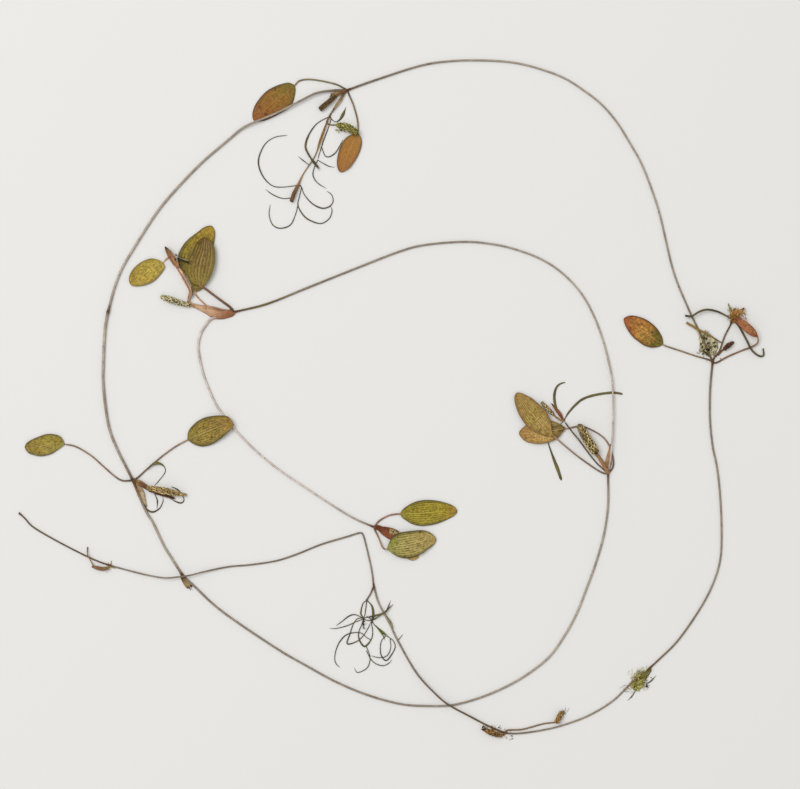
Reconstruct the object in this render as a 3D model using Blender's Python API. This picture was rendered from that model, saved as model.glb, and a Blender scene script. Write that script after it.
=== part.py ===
"""Waterthread pondweed, lying as picked, seen from above.

Radii, widths and heights are millimetres in the lists below, and metres in the finished meshes. +Z is up,
+X and +Y span the surface that the plant lies on, and the origin is the middle of the plant's box there.
A place is at(right, down, lift): its pixel in the photograph, and how far its underside is raised.
"""

import math

import bmesh
import bpy
from mathutils import Vector

MM = 0.001
PLANT_WIDTH = 253.3  # the spread plant's real width
PIXEL = PLANT_WIDTH / 745.0  # the photograph shows that width on 745 pixels
MIDDLE = (391.14, 398.72)  # the pixel over the origin
STEM_STEP = 7.0  # spacing of the rings along a stem
PETIOLE_STEP = 5.0
THREAD_STEP = 3.8
PETIOLE_RADIUS = 0.3
BLADE_HEIGHT = 0.36
THREAD_WIDTH = 0.42
THREAD_HEIGHT = 0.36
STRAP_HEIGHT = 0.3

# A cross-section is a list of (across, up): across is in half widths, up is in heights above the underside.
ROUND_SECTION = [(-1, 0.5), (-0.5, 0), (0.5, 0), (1, 0.5), (0.5, 1), (-0.5, 1)]
FLAT_SECTION = [(-1, 0), (1, 0), (1, 1), (-1, 1)]
HEXAGON_HEIGHT = math.sqrt(3)  # height of a hexagon with a flat underside, in radii

COLOURS = {
    "stem": (0.30, 0.20, 0.14),
    "shoot": (0.22, 0.15, 0.09),
    "leaf": (0.25, 0.23, 0.06),
    "leaf_purple": (0.20, 0.14, 0.07),
    "leaf_orange": (0.40, 0.20, 0.06),
    "thread": (0.10, 0.10, 0.05),
    "spike": (0.16, 0.14, 0.04),
    "spike_dark": (0.12, 0.05, 0.03),
    "stipule": (0.42, 0.22, 0.14),
}


def at(right, down, lift=0.0):
    """The place that a pixel of the photograph shows, in millimetres from the origin."""
    return ((right - MIDDLE[0]) * PIXEL, (MIDDLE[1] - down) * PIXEL, lift)


# Main stem, from the cut end to the tip: radius at the start, radius at the end, route.
STEMS = {
    "stem_base": (0.28, 0.28, [
        at(19.2, 513.0), at(25.3, 518.7), at(33.0, 526.8), at(52.1, 538.3), at(78.9, 552.4), at(98.0, 561.2),
        at(109.4, 565.1)]),
    "stem_long_run": (0.28, 0.30, [
        at(110.8, 565.6), at(130.0, 570.8), at(148.0, 575.0, 0.4), at(165.0, 577.5, 1.0),
        at(178.0, 576.6, 1.15), at(190.0, 575.0, 1.1), at(204.2, 571.5, 0.7), at(228.4, 566.7, 0.1),
        at(250.0, 564.8), at(275.5, 560.9), at(295.9, 554.5), at(321.4, 544.3), at(346.9, 536.7),
        at(359.8, 532.8), at(363.0, 534.8), at(366.1, 545.6), at(371.6, 570.0), at(373.6, 585.4)]),
    "stem_lower_diagonal": (0.34, 0.32, [
        at(374.1, 587.2), at(378.1, 601.4), at(384.1, 613.4), at(390.0, 624.2), at(396.6, 638.3),
        at(410.2, 663.0, 0.1), at(420.0, 677.3, 0.5), at(432.0, 690.0, 1.0), at(444.0, 701.0, 1.1),
        at(455.0, 708.0, 1.0), at(470.0, 716.1, 0.4), at(486.6, 725.0), at(503.4, 732.2)]),
    "stem_bottom_right": (0.30, 0.30, [
        at(505.2, 733.0), at(518.5, 733.3), at(540.2, 730.4), at(562.5, 725.2), at(588.8, 715.3),
        at(612.8, 700.7), at(630.6, 683.4), at(640.8, 676.2), at(648.8, 668.8)]),
    "stem_right_side": (0.31, 0.36, [
        at(650.0, 667.4), at(656.1, 661.9), at(678.1, 640.0), at(701.0, 606.8), at(713.8, 581.3),
        at(720.2, 558.4), at(721.4, 532.9), at(720.2, 499.7), at(717.1, 469.1), at(712.5, 446.1),
        at(709.9, 420.6), at(709.9, 390.0), at(712.3, 362.9)]),
    "stem_top_arc": (0.40, 0.44, [
        at(712.2, 361.2), at(705.9, 347.1), at(698.8, 330.8), at(687.6, 307.3), at(673.0, 270.4),
        at(660.2, 216.8), at(651.3, 188.8), at(641.1, 163.3), at(629.6, 142.9), at(616.8, 122.4),
        at(601.5, 104.6), at(583.7, 90.6), at(563.3, 77.8), at(537.8, 68.4), at(512.2, 62.5),
        at(481.6, 60.5), at(451.0, 61.2), at(420.4, 65.8), at(375.0, 80.3), at(348.3, 89.9)]),
    "stem_left_upper": (0.50, 0.50, [
        at(346.4, 90.4), at(334.7, 90.6, 0.3), at(317.4, 93.3, 0.65), at(304.4, 99.3, 0.75),
        at(278.4, 112.8, 0.75), at(254.5, 122.6, 0.7), at(241.5, 129.1, 0.3), at(229.6, 139.0),
        at(204.1, 160.7), at(183.7, 181.1), at(163.3, 204.1), at(150.5, 221.9), at(135.2, 246.2),
        at(122.4, 267.9), at(114.5, 288.0), at(108.5, 310.8)]),
    "stem_left_lower": (0.50, 0.48, [
        at(108.0, 312.6), at(105.1, 330.2), at(103.3, 365.9), at(103.8, 390.0), at(108.9, 426.4),
        at(117.7, 449.9), at(126.5, 467.5), at(132.4, 479.1)]),
    "stem_inner_left": (0.46, 0.46, [
        at(133.3, 481.0), at(139.7, 496.8), at(153.1, 522.7), at(163.7, 545.0), at(172.3, 559.0),
        at(181.9, 574.1)]),
    "stem_inner_bottom": (0.46, 0.40, [
        at(183.1, 575.6), at(194.0, 585.8), at(222.1, 611.3), at(275.5, 647.7), at(306.1, 665.5),
        at(336.7, 682.1), at(367.3, 694.8), at(400.0, 703.8), at(425.5, 705.8), at(451.0, 705.1),
        at(476.5, 698.7), at(502.0, 688.5), at(525.0, 675.7), at(548.0, 657.9), at(563.3, 637.4),
        at(576.0, 614.5), at(586.2, 589.0), at(596.4, 560.9), at(604.1, 532.9), at(607.9, 504.8),
        at(607.9, 474.0)]),
    "stem_inner_arc": (0.42, 0.38, [
        at(608.0, 472.0), at(610.0, 461.0, 0.5), at(611.0, 450.0, 0.8), at(612.4, 430.0, 0.8),
        at(612.8, 410.0, 0.8), at(612.4, 392.6, 0.8), at(611.0, 375.0, 0.5), at(604.1, 344.4),
        at(593.9, 316.3), at(581.1, 293.4), at(563.3, 274.2), at(542.9, 260.2), at(517.3, 250.0),
        at(491.8, 244.1), at(463.8, 241.8), at(425.5, 244.9), at(400.0, 251.3), at(357.1, 267.9),
        at(306.1, 288.3), at(267.9, 303.6), at(235.4, 311.8)]),
    "stem_tip_run": (0.46, 0.34, [
        at(227.5, 320.4), at(221.0, 321.2), at(214.5, 321.3), at(209.3, 323.0), at(204.1, 327.4),
        at(200.0, 334.4), at(198.4, 343.4), at(198.7, 352.3), at(203.5, 374.6), at(213.7, 400.0),
        at(221.9, 413.0), at(237.2, 432.1), at(257.7, 452.5), at(278.1, 469.1), at(306.1, 488.2),
        at(348.7, 515.4), at(372.8, 526.6)]),
}

SIDE_SHOOTS = {
    "side_shoot_top_upper": (0.30, 0.26, [at(343.2, 94.8), at(335.8, 105.8), at(330.0, 115.2)]),
    "side_shoot_right": (0.28, 0.28, [at(714.6, 357.2), at(719.2, 351.2), at(724.3, 336.9),
                                      at(729.4, 326.8)]),
    "side_shoot_inner_right": (0.26, 0.24, [
        at(603.9, 469.9), at(597.0, 463.5), at(589.5, 454.6, 0.1), at(579.6, 441.3, 0.5),
        at(572.1, 432.2, 0.85), at(568.0, 427.0, 0.9), at(565.2, 422.8, 0.7)]),
    "side_shoot_tuft": (0.28, 0.26, [at(372.2, 589.6), at(370.5, 593.9), at(367.6, 598.4)]),
}

# Floating leaves: petiole route, midrib route, half width left and right of the midrib (seen along it from
# the petiole), where along the midrib the blade is widest, and how bluntly it narrows at each end.
LEAVES = {
    "leaf_tip_upper": dict(
        petiole=[at(376.8, 524.2), at(381.2, 519.7), at(388.9, 515.4), at(398.9, 513.9)],
        midrib=[at(400.4, 514.2), at(428.0, 512.6), at(455.8, 510.6)],
        left=4.4, right=4.4, widest=0.5, base=0.62, tip=0.55, colour="leaf"),
    "leaf_tip_lower": dict(
        petiole=[at(375.4, 530.9), at(377.4, 535.0), at(381.2, 543.6, 0.3), at(384.0, 548.0, 0.7)],
        midrib=[at(386.8, 548.6, 0.8), at(411.0, 544.2, 0.7), at(436.2, 538.8, 0.2)],
        left=4.9, right=4.6, widest=0.45, base=0.55, tip=0.6, colour="leaf"),
    "leaf_tip_young": dict(
        petiole=[at(391.2, 537.4), at(392.6, 539.2)],
        midrib=[at(394.0, 541.0), at(404.5, 551.5), at(414.5, 560.2)],
        left=1.5, right=1.5, widest=0.55, base=0.8, tip=0.8, colour="leaf_orange"),
    "leaf_big_purple": dict(
        petiole=[at(230.6, 307.6), at(221.0, 299.0, 0.3), at(212.0, 293.0, 0.7), at(204.0, 287.6, 0.85)],
        midrib=[at(198.2, 284.6, 0.9), at(201.5, 262.0, 1.0), at(206.8, 238.8, 0.9)],
        left=4.4, right=4.6, widest=0.5, base=0.6, tip=0.6, colour="leaf_purple"),
    "leaf_big_olive": dict(
        petiole=[at(206.0, 306.0), at(200.6, 300.4), at(196.6, 295.4)],
        midrib=[at(194.6, 292.2), at(194.2, 272.0), at(197.5, 250.0), at(213.4, 227.4)],
        left=5.6, right=5.4, widest=0.58, base=1.2, tip=0.6, colour="leaf"),
    "leaf_small_oval": dict(
        petiole=[at(188.6, 302.0), at(189.6, 295.0, 0.3), at(184.6, 285.5, 0.6), at(179.4, 277.0, 0.2),
                 at(175.4, 270.5), at(171.0, 262.0), at(167.3, 257.6), at(164.6, 259.6)],
        midrib=[at(162.6, 261.8), at(149.5, 269.6), at(129.5, 281.3)],
        left=3.8, right=3.6, widest=0.5, base=0.55, tip=0.6, colour="leaf"),
    "leaf_folded_long": dict(
        petiole=[at(192.4, 302.6), at(193.4, 296.0, 0.5), at(188.8, 285.8, 0.85), at(183.4, 276.6, 0.85),
                 at(180.2, 270.2, 0.85)],
        midrib=[at(178.4, 266.6, 0.85), at(173.0, 257.5, 0.85), at(166.4, 247.7, 0.5)],
        left=0.9, right=0.9, widest=0.5, base=0.8, tip=0.8, colour="leaf_orange"),
    "leaf_right_tan": dict(
        petiole=[at(603.6, 473.2), at(595.3, 468.7), at(578.8, 457.1, 0.2), at(566.3, 447.1, 0.8),
                 at(557.2, 438.8, 1.25)],
        midrib=[at(552.4, 434.0, 1.35), at(535.5, 413.8, 1.05), at(516.6, 394.0, 0.3)],
        left=4.6, right=3.6, widest=0.45, base=0.6, tip=0.6, colour="leaf"),
    "leaf_right_olive": dict(
        petiole=[at(611.6, 471.0), at(614.0, 465.0), at(613.6, 456.2), at(609.4, 445.4), at(602.0, 436.3),
                 at(591.2, 429.7), at(579.6, 425.1), at(574.6, 426.4), at(568.4, 428.3, 0.1)],
        midrib=[at(563.6, 428.4, 0.4), at(545.0, 432.0, 0.6), at(519.5, 433.8)],
        left=3.6, right=3.4, widest=0.4, base=0.7, tip=0.7, colour="leaf"),
    "leaf_left_small": dict(
        petiole=[at(129.6, 480.4), at(122.1, 480.7), at(114.8, 476.3), at(103.0, 466.0), at(91.3, 455.7),
                 at(76.6, 446.9), at(66.0, 444.2)],
        midrib=[at(64.0, 444.0), at(45.5, 444.8), at(26.0, 445.5)],
        left=3.8, right=3.8, widest=0.5, base=0.6, tip=0.6, colour="leaf"),
    "leaf_left_speckled": dict(
        petiole=[at(138.2, 477.2), at(147.0, 470.4), at(161.7, 458.7), at(176.4, 446.9), at(186.6, 441.6)],
        midrib=[at(189.0, 440.3), at(211.0, 432.0, 0.7), at(222.0, 428.0, 1.1), at(233.6, 423.5, 1.1)],
        left=4.4, right=4.4, widest=0.45, base=0.55, tip=0.6, colour="leaf"),
    "leaf_top_olive": dict(
        petiole=[at(341.2, 86.4), at(335.8, 84.1), at(321.7, 80.8), at(308.7, 79.2), at(300.1, 80.3),
                 at(296.6, 83.2)],
        midrib=[at(294.6, 85.4), at(275.4, 103.2), at(255.1, 121.5)],
        left=4.5, right=4.8, widest=0.5, base=0.6, tip=0.6, colour="leaf"),
    "leaf_top_orange": dict(
        petiole=[at(348.9, 94.6), at(353.2, 104.7), at(357.0, 117.7), at(358.0, 130.0)],
        midrib=[at(357.2, 133.0), at(350.5, 152.0), at(340.2, 172.5)],
        left=3.5, right=3.3, widest=0.45, base=0.6, tip=0.6, colour="leaf_orange"),
    "leaf_far_right_red": dict(
        petiole=[at(708.4, 359.6), at(696.7, 356.3), at(681.4, 351.2), at(671.2, 347.7), at(664.9, 345.0)],
        midrib=[at(662.6, 343.6), at(644.0, 331.0), at(624.3, 319.6)],
        left=3.7, right=3.6, widest=0.5, base=0.6, tip=0.6, colour="leaf_orange"),
    "leaf_far_right_folded": dict(
        petiole=[at(716.2, 362.6), at(727.3, 356.3), at(742.7, 350.2), at(752.9, 346.1, 0.3),
                 at(756.9, 341.6, 0.7)],
        midrib=[at(756.0, 337.6, 1.15), at(745.0, 328.5, 1.5), at(730.0, 319.4, 1.6)],
        left=1.2, right=1.2, widest=0.5, base=0.8, tip=0.9, colour="leaf_orange"),
}

# Spikes: stalk route, stalk radius, head route, head radius, rows of beads.
SPIKES = {
    "spike_bud_tip": ([at(378.2, 525.2), at(385.0, 527.4)], 0.2, [at(390.6, 529.2),
                                                                  at(396.4, 531.8)], 0.55, 3),
    "spike_big_leaf": ([at(210.6, 312.6), at(199.5, 310.0), at(191.5, 307.4)], 0.42,
                       [at(188.6, 306.4), at(175.0, 301.4), at(161.5, 297.0)], 0.95, 8),
    "spike_inner_right_large": ([at(605.9, 468.6), at(600.4, 460.0, 0.2)], 0.4,
                                [at(595.6, 452.4, 0.4), at(586.0, 438.6, 0.6),
                                 at(578.0, 425.6, 0.95)], 1.6, 8),
    "spike_inner_right_small": ([at(560.2, 420.4, 0.2), at(556.0, 417.6)], 0.24,
                                [at(552.6, 414.6), at(541.5, 402.3)], 0.75, 5),
    "spike_left": ([at(137.2, 482.8), at(142.0, 485.2, 0.2)], 0.32,
                   [at(147.5, 488.0, 0.5), at(160.0, 491.2, 0.55), at(174.0, 492.8, 0.55),
                    at(185.9, 494.6, 0.55)],
                   1.7, 8),
    "spike_top_dark": ([at(339.6, 94.6), at(335.0, 97.0)], 0.24, [at(332.5, 98.8),
                                                                  at(319.6, 110.1)], 0.95, 5),
    "spike_top_green": ([at(331.4, 125.0), at(334.4, 125.2)], 0.26,
                        [at(337.0, 125.4), at(347.0, 127.4, 0.2), at(356.4, 134.0, 0.65)], 1.1, 6),
    "spike_far_right": ([at(720.8, 354.0), at(723.6, 350.8)], 0.24, [at(725.4, 348.9),
                                                                     at(732.6, 343.1)], 0.8, 3),
    "spike_bottom": ([at(504.2, 735.6), at(502.8, 736.2)], 0.3, [at(501.4, 736.4),
                                                                 at(483.0, 730.3)], 0.9, 7),
    "spike_bottom_side": ([at(507.4, 729.9), at(521.0, 729.4), at(531.2, 727.0), at(542.7, 723.8),
                           at(552.0, 722.2)],
                          0.24, [at(554.6, 721.0), at(561.8, 712.3)], 0.85, 4),
}

# Strap and thread leaves. Each tuft is a list of threads, (widest half width, route), fused where they leave
# one node of the stem.
TUFTS = {
    "strap_leaf_inner_upper": [
        (0.55, [at(562.6, 418.0), at(558.0, 412.3), at(554.9, 403.2), at(554.3, 394.9), at(556.4, 387.4),
                at(560.5, 383.7), at(565.5, 382.3)]),
        (0.5, [at(562.4, 417.8), at(557.4, 411.4), at(552.5, 405.7)])],
    "strap_leaf_inner_long": [
        (0.65, [at(566.4, 416.6), at(568.8, 412.3), at(574.6, 405.7), at(582.9, 399.0), at(595.3, 394.9),
                at(611.9, 392.6), at(622.7, 394.0)])],
    "strap_leaf_inner_lower": [
        (0.6, [at(561.4, 423.2), at(556.0, 428.0), at(550.6, 433.0), at(548.6, 438.0), at(550.0, 445.6),
               at(554.7, 459.5), at(558.9, 470.3), at(561.4, 480.3)])],
    "strap_leaf_top": [
        (0.5, [at(325.6, 118.4), at(316.3, 124.2), at(308.7, 135.0), at(305.5, 145.9), at(308.2, 154.0, 0.5),
               at(312.6, 160.6, 0.8), at(319.6, 169.2, 0.75)]),
        (0.22, [at(308.6, 155.4, 0.5), at(304.4, 161.0), at(297.9, 156.2)])],
    "threads_top_upper": [
        (0.5, [at(331.4, 118.0), at(334.7, 121.8), at(340.2, 117.7), at(344.5, 112.3), at(346.7, 107.9)]),
        (0.24, [at(331.2, 118.2), at(328.4, 127.5), at(323.4, 141.0), at(319.0, 155.0), at(317.6, 160.6)]),
        (0.24, [at(321.6, 147.0), at(325.0, 155.7), at(329.3, 156.7), at(334.7, 153.5), at(338.2, 148.6)]),
        (0.24, [at(317.8, 160.2), at(321.2, 162.2), at(328.2, 166.0), at(334.7, 167.6)]),
        (0.26, [at(317.8, 160.0), at(314.6, 166.6), at(313.0, 175.2), at(317.4, 182.8), at(326.6, 188.7)])],
    "threads_top_left": [
        (0.24, [at(294.2, 185.8), at(282.7, 187.1), at(272.9, 186.0), at(264.3, 178.4), at(258.9, 166.5),
                at(259.4, 155.7), at(265.4, 143.7), at(275.1, 137.2), at(287.6, 135.3)])],
    "threads_top_lower": [
        (0.26, [at(301.6, 187.4), at(304.4, 194.7), at(312.0, 203.4), at(321.7, 208.2), at(329.3, 206.6),
                at(333.1, 201.2), at(331.5, 194.7), at(326.6, 190.9)]),
        (0.24, [at(301.4, 187.2), at(299.6, 196.0), at(298.0, 205.6), at(304.4, 216.4), at(313.1, 221.8),
                at(321.7, 223.4), at(329.3, 218.5), at(332.0, 210.9), at(330.4, 205.5)]),
        (0.24, [at(298.2, 204.0), at(295.2, 215.3), at(290.3, 225.0), at(280.5, 228.3), at(272.9, 225.0),
                at(269.2, 215.3), at(270.2, 204.4)])],
    "threads_left": [
        (0.4, [at(137.4, 473.6), at(144.5, 467.6, 0.3), at(151.4, 463.6, 0.7), at(156.5, 462.4, 0.85),
               at(161.4, 463.6, 0.5), at(164.8, 467.9), at(165.4, 473.3), at(160.2, 480.0), at(154.4, 485.8),
               at(155.8, 495.3), at(157.3, 502.7), at(156.6, 508.6)]),
        (0.26, [at(144.2, 497.6), at(146.2, 503.4), at(150.0, 510.0), at(155.8, 510.8), at(161.7, 504.2),
                at(162.4, 496.8), at(159.5, 489.0), at(154.8, 486.6)]),
        (0.26, [at(162.0, 495.0), at(170.5, 498.3), at(176.4, 501.2), at(182.2, 502.7), at(184.4, 498.3),
                at(180.8, 492.4)])],
    "threads_tuft": [
        (0.5, [at(366.7, 600.4), at(362.9, 603.6), at(360.8, 613.4), at(362.9, 617.7), at(364.0, 626.4)]),
        (0.22, [at(366.7, 600.4), at(365.1, 613.4), at(364.0, 618.4)]),
        (0.55, [at(366.9, 600.4), at(371.8, 605.8), at(373.2, 614.5), at(371.6, 622.4)]),
        (0.22, [at(364.0, 617.8), at(374.9, 615.5, 0.4), at(383.5, 612.8, 0.9), at(390.0, 606.9, 0.4),
                at(393.3, 604.5)]),
        (0.22, [at(363.6, 618.4), at(355.4, 614.7), at(348.9, 616.1), at(341.3, 622.0), at(335.8, 625.8)]),
        (0.22, [at(363.8, 618.6), at(355.4, 622.0), at(346.7, 625.8), at(335.8, 628.5), at(329.3, 628.5)]),
        (0.22, [at(364.0, 618.0), at(357.5, 618.6), at(353.2, 624.2), at(349.9, 634.0), at(347.2, 643.7),
                at(356.4, 641.6), at(362.9, 636.1), at(368.4, 627.5), at(371.0, 621.6)]),
        (0.3, [at(371.2, 621.8), at(372.7, 632.9), at(370.5, 640.5), at(364.6, 646.4), at(359.7, 640.5),
               at(358.6, 633.0), at(361.8, 624.2), at(364.0, 619.0)]),
        (0.22, [at(371.0, 640.0), at(366.2, 637.2), at(360.8, 632.9), at(352.1, 632.9), at(344.5, 636.1),
                at(338.0, 644.8), at(334.8, 655.7), at(335.8, 663.2), at(340.2, 667.6)]),
        (0.6, [at(371.4, 621.6), at(379.2, 629.6), at(386.4, 636.6)]),
        (0.22, [at(385.8, 635.8), at(381.6, 640.6), at(380.3, 647.9), at(381.4, 655.7), at(386.3, 660.5),
                at(392.2, 653.5), at(395.2, 646.4), at(392.6, 640.0), at(386.0, 636.0)]),
        (0.22, [at(390.2, 638.6), at(390.6, 648.1), at(386.8, 655.7), at(379.2, 657.6), at(370.5, 655.7)]),
        (0.22, [at(365.8, 645.6), at(369.5, 654.6), at(369.6, 662.2), at(366.2, 668.7), at(357.5, 672.5),
                at(354.3, 667.6)])],
    "threads_right": [
        (0.35, [at(651.2, 669.9), at(648.0, 675.5), at(643.8, 681.0), at(641.8, 686.6), at(635.6, 690.0),
                at(632.6, 687.6)]),
        (0.22, [at(643.4, 682.0), at(647.4, 683.2), at(651.6, 680.3), at(656.1, 675.7)]),
        (0.22, [at(636.0, 689.8), at(632.0, 696.0), at(627.6, 700.7)])],
}

# Round-section tufts and buds: (radius, route) of each branch, fused in one piece.
BUDS = {
    "bud_base": [
        ([0.2, 0.62, 0.7, 0.3], [at(108.0, 569.2), at(103.6, 569.0), at(98.6, 568.6), at(93.4, 567.6)]),
        ([0.22, 0.2, 0.2, 0.2], [
            at(94.8, 567.8), at(91.6, 561.6, 0.75), at(87.9, 554.0, 0.75), at(87.7, 547.1)])],
    "side_shoot_top_lower": [
        ([0.26] * 10 + [0.34, 0.68, 0.62, 0.3],
         [at(328.4, 118.8), at(325.0, 126.4), at(319.6, 140.5), at(315.2, 155.7), at(303.3, 174.1),
          at(297.0, 187.8), at(294.4, 193.2), at(292.8, 197.6), at(291.6, 201.4)])],
    "threads_far_right": [
        ([0.2, 0.8, 1.1, 0.5], [at(731.2, 320.6), at(734.4, 317.6), at(737.8, 314.4), at(741.6, 311.0)]),
        ([0.26, 0.24, 0.3, 0.3, 0.24, 0.2], [
            at(732.4, 320.0), at(720.2, 313.0, 0.7), at(708.0, 309.9, 1.1), at(696.0, 313.6, 1.1),
            at(688.6, 317.0, 1.1), at(684.9, 315.6, 0.9)]),
        ([0.24, 0.22, 0.22, 0.22, 0.2, 0.2, 0.2], [
            at(734.0, 318.4), at(740.6, 328.8), at(745.7, 339.0, 0.5), at(750.2, 349.4, 1.2),
            at(755.9, 354.3, 0.4), at(762.4, 355.8), at(763.0, 348.6)])],
}

# Sheaths and stipules: height, half widths along them, route.
STIPULES = {
    "sheath_big_leaf": (1.1, [0.5, 1.35, 1.35, 0.8],
                        [at(232.4, 313.6), at(226.0, 314.0), at(219.0, 313.8), at(212.6, 312.6)]),
    "stipules_tip": (0.5, [0.3, 0.8, 0.9, 0.6], [at(377.4, 528.6), at(381.0, 530.6), at(385.4, 533.2),
                                                 at(389.4, 535.6)]),
    "stipule_inner_right": (0.3, [0.3, 0.5, 0.4, 0.2],
                            [at(606.0, 464.6), at(605.4, 459.5), at(605.4, 454.5), at(606.0, 449.5)]),
    "stipule_left": (0.35, [0.2, 0.45, 0.2], [at(140.0, 487.8), at(141.6, 491.6), at(143.0, 495.0)]),
    "stipule_flap": (0.35, [0.3, 0.6, 0.8, 0.9],
                     [at(180.9, 578.9), at(183.2, 582.0), at(186.0, 585.4), at(189.0, 588.8)]),
}


def smooth(points, step):
    """A curve through every point, with a point at most every step millimetres."""
    given = [Vector(point) for point in points]
    ends = [2 * given[0] - given[1]] + given + [2 * given[-1] - given[-2]]
    curve = [given[0]]
    for before, start, end, after in zip(ends, ends[1:], ends[2:], ends[3:]):
        count = max(1, math.ceil((end - start).length / step))
        for i in range(1, count + 1):
            t = i / count
            curve.append(catmull(before, start, end, after, t))
    for point in curve:
        point.z = max(0.0, point.z)
    return curve


def catmull(before, start, end, after, t):
    return 0.5 * (
        2 * start
        + (end - before) * t
        + (2 * before - 5 * start + 4 * end - after) * t**2
        + (3 * start - before - 3 * end + after) * t**3
    )


def distances(points):
    """How far along the curve each point is, from 0 to 1."""
    run = [0.0]
    for start, end in zip(points, points[1:]):
        run.append(run[-1] + (end - start).length)
    return [value / run[-1] for value in run]


def between(values, t):
    """The value at t, from 0 to 1, along evenly spaced values."""
    spot = t * (len(values) - 1)
    index = min(int(spot), len(values) - 2)
    return values[index] + (values[index + 1] - values[index]) * (spot - index)


def sweep(points, lefts, rights, heights, section):
    """A closed mesh whose rings follow the points and stay upright, with flat ends."""
    mesh = bmesh.new()
    rings = []
    for i, point in enumerate(points):
        along = points[min(i + 1, len(points) - 1)] - points[max(i - 1, 0)]
        across = Vector((along.y, -along.x, 0.0)).normalized()
        ring = []
        for side, up in section:
            reach = lefts[i] if side < 0 else rights[i]
            corner = point + across * side * reach + Vector((0, 0, up * heights[i]))
            ring.append(mesh.verts.new(corner * MM))
        rings.append(ring)
    for near, far in zip(rings, rings[1:]):
        for i in range(len(near)):
            j = (i + 1) % len(near)
            mesh.faces.new((near[i], near[j], far[j], far[i]))
    mesh.faces.new(reversed(rings[0]))
    mesh.faces.new(rings[-1])
    bmesh.ops.recalc_face_normals(mesh, faces=mesh.faces)
    return mesh


def material(colour):
    """A plain material of one of the plant's colours, made once."""
    name = "plant_" + colour
    if name in bpy.data.materials:
        return bpy.data.materials[name]
    made = bpy.data.materials.new(name)
    made.use_nodes = True
    shader = made.node_tree.nodes["Principled BSDF"]
    shader.inputs["Base Color"].default_value = (*COLOURS[colour], 1.0)
    shader.inputs["Roughness"].default_value = 0.45
    shader.inputs["Metallic"].default_value = 0.0
    return made


def add(name, mesh, colour):
    """A mesh as a named object of its own."""
    data = bpy.data.meshes.new(name)
    mesh.to_mesh(data)
    mesh.free()
    data.materials.append(material(colour))
    made = bpy.data.objects.new(name, data)
    bpy.context.scene.collection.objects.link(made)
    return made


def fuse(name, meshes, colour):
    """Overlapping meshes as one solid: the first, united with all the others."""
    made = add(name, meshes[0], colour)
    for number, mesh in enumerate(meshes[1:], 1):
        branch = add(f"{name}_branch_{number}", mesh, colour)
        branch.hide_render = True
        branch.display_type = "WIRE"
        union = made.modifiers.new(f"union_{number}", "BOOLEAN")
        union.operation = "UNION"
        union.object = branch
        union.use_self = True
    return made


def rod(points, radii):
    """A round stem through the points."""
    along = distances(points)
    sizes = [between(radii, t) for t in along]
    heights = [size * HEXAGON_HEIGHT for size in sizes]
    return sweep(points, sizes, sizes, heights, ROUND_SECTION)


def outline(t, widest, base, tip):
    """The share of the full half width that a blade has at t along its midrib."""
    if t < widest:
        return math.sin(math.pi / 2 * t / widest) ** base
    return math.cos(math.pi / 2 * (t - widest) / (1 - widest)) ** tip


def leaf(name, petiole, midrib, left, right, widest, base, tip, colour):
    """Petiole and blade in one piece: a round stalk that widens into a thin blade with a flat underside."""
    stalk = smooth(petiole, PETIOLE_STEP)
    rib = smooth(midrib, 1.0)
    along = distances(rib)
    stations = [0.03, 0.1, 0.2, 0.34, 0.5, 0.66, 0.8, 0.91, 0.98]
    points = stalk[:]
    lefts = [PETIOLE_RADIUS] * len(stalk)
    rights = [PETIOLE_RADIUS] * len(stalk)
    heights = [PETIOLE_RADIUS * HEXAGON_HEIGHT] * len(stalk)
    for t in stations:
        index = min(range(len(rib)), key=lambda i: abs(along[i] - t))
        share = outline(t, widest, base, tip)
        points.append(rib[index])
        lefts.append(max(left * share, PETIOLE_RADIUS))
        rights.append(max(right * share, PETIOLE_RADIUS))
        heights.append(BLADE_HEIGHT)
    return add(name, sweep(points, lefts, rights, heights, ROUND_SECTION), colour)


def spike(name, stalk, stalk_radius, head, head_radius, rows, colour):
    """A stalk and its head of beads, as swellings along one axis."""
    points = smooth(stalk, PETIOLE_STEP)
    sizes = [stalk_radius] * len(points)
    axis = smooth(head, 0.25)
    along = distances(axis)
    for i in range(2 * rows + 1):
        t = i / (2 * rows)
        index = min(range(len(axis)), key=lambda k: abs(along[k] - t))
        swell = 0.55 + 0.45 * math.sin(math.pi * min(max(t, 0.08), 0.92)) ** 0.5
        bead = 1.0 if i % 2 else 0.82
        points.append(axis[index])
        sizes.append(head_radius * swell * bead)
    heights = [size * HEXAGON_HEIGHT for size in sizes]
    return add(name, sweep(points, sizes, sizes, heights, ROUND_SECTION), colour)


def thread(width, route):
    """A flat thread leaf: narrow at its base, widest past the middle."""
    points = smooth(route, THREAD_STEP)
    half = THREAD_WIDTH / 2
    sizes = []
    for t in distances(points):
        swell = math.sin(math.pi * min(1.0, max(0.0, t))) ** 2
        sizes.append(half + (width - half) * swell if width > half else width)
    heights = [THREAD_HEIGHT if width < 0.3 else STRAP_HEIGHT] * len(points)
    return sweep(points, sizes, sizes, heights, FLAT_SECTION)


def build_stems():
    for name, (start, end, route) in STEMS.items():
        add(name, rod(smooth(route, STEM_STEP), [start, end]), "stem")
    for name, (start, end, route) in SIDE_SHOOTS.items():
        add(name, rod(smooth(route, STEM_STEP), [start, end]), "shoot")


def build_leaves():
    for name, shape in LEAVES.items():
        leaf(name, **shape)


def build_spikes():
    dark = ("spike_left", "spike_top_dark", "spike_far_right")
    for name, (stalk, stalk_radius, head, head_radius, rows) in SPIKES.items():
        colour = "spike_dark" if name in dark else "spike"
        spike(name, stalk, stalk_radius, head, head_radius, rows, colour)


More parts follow.
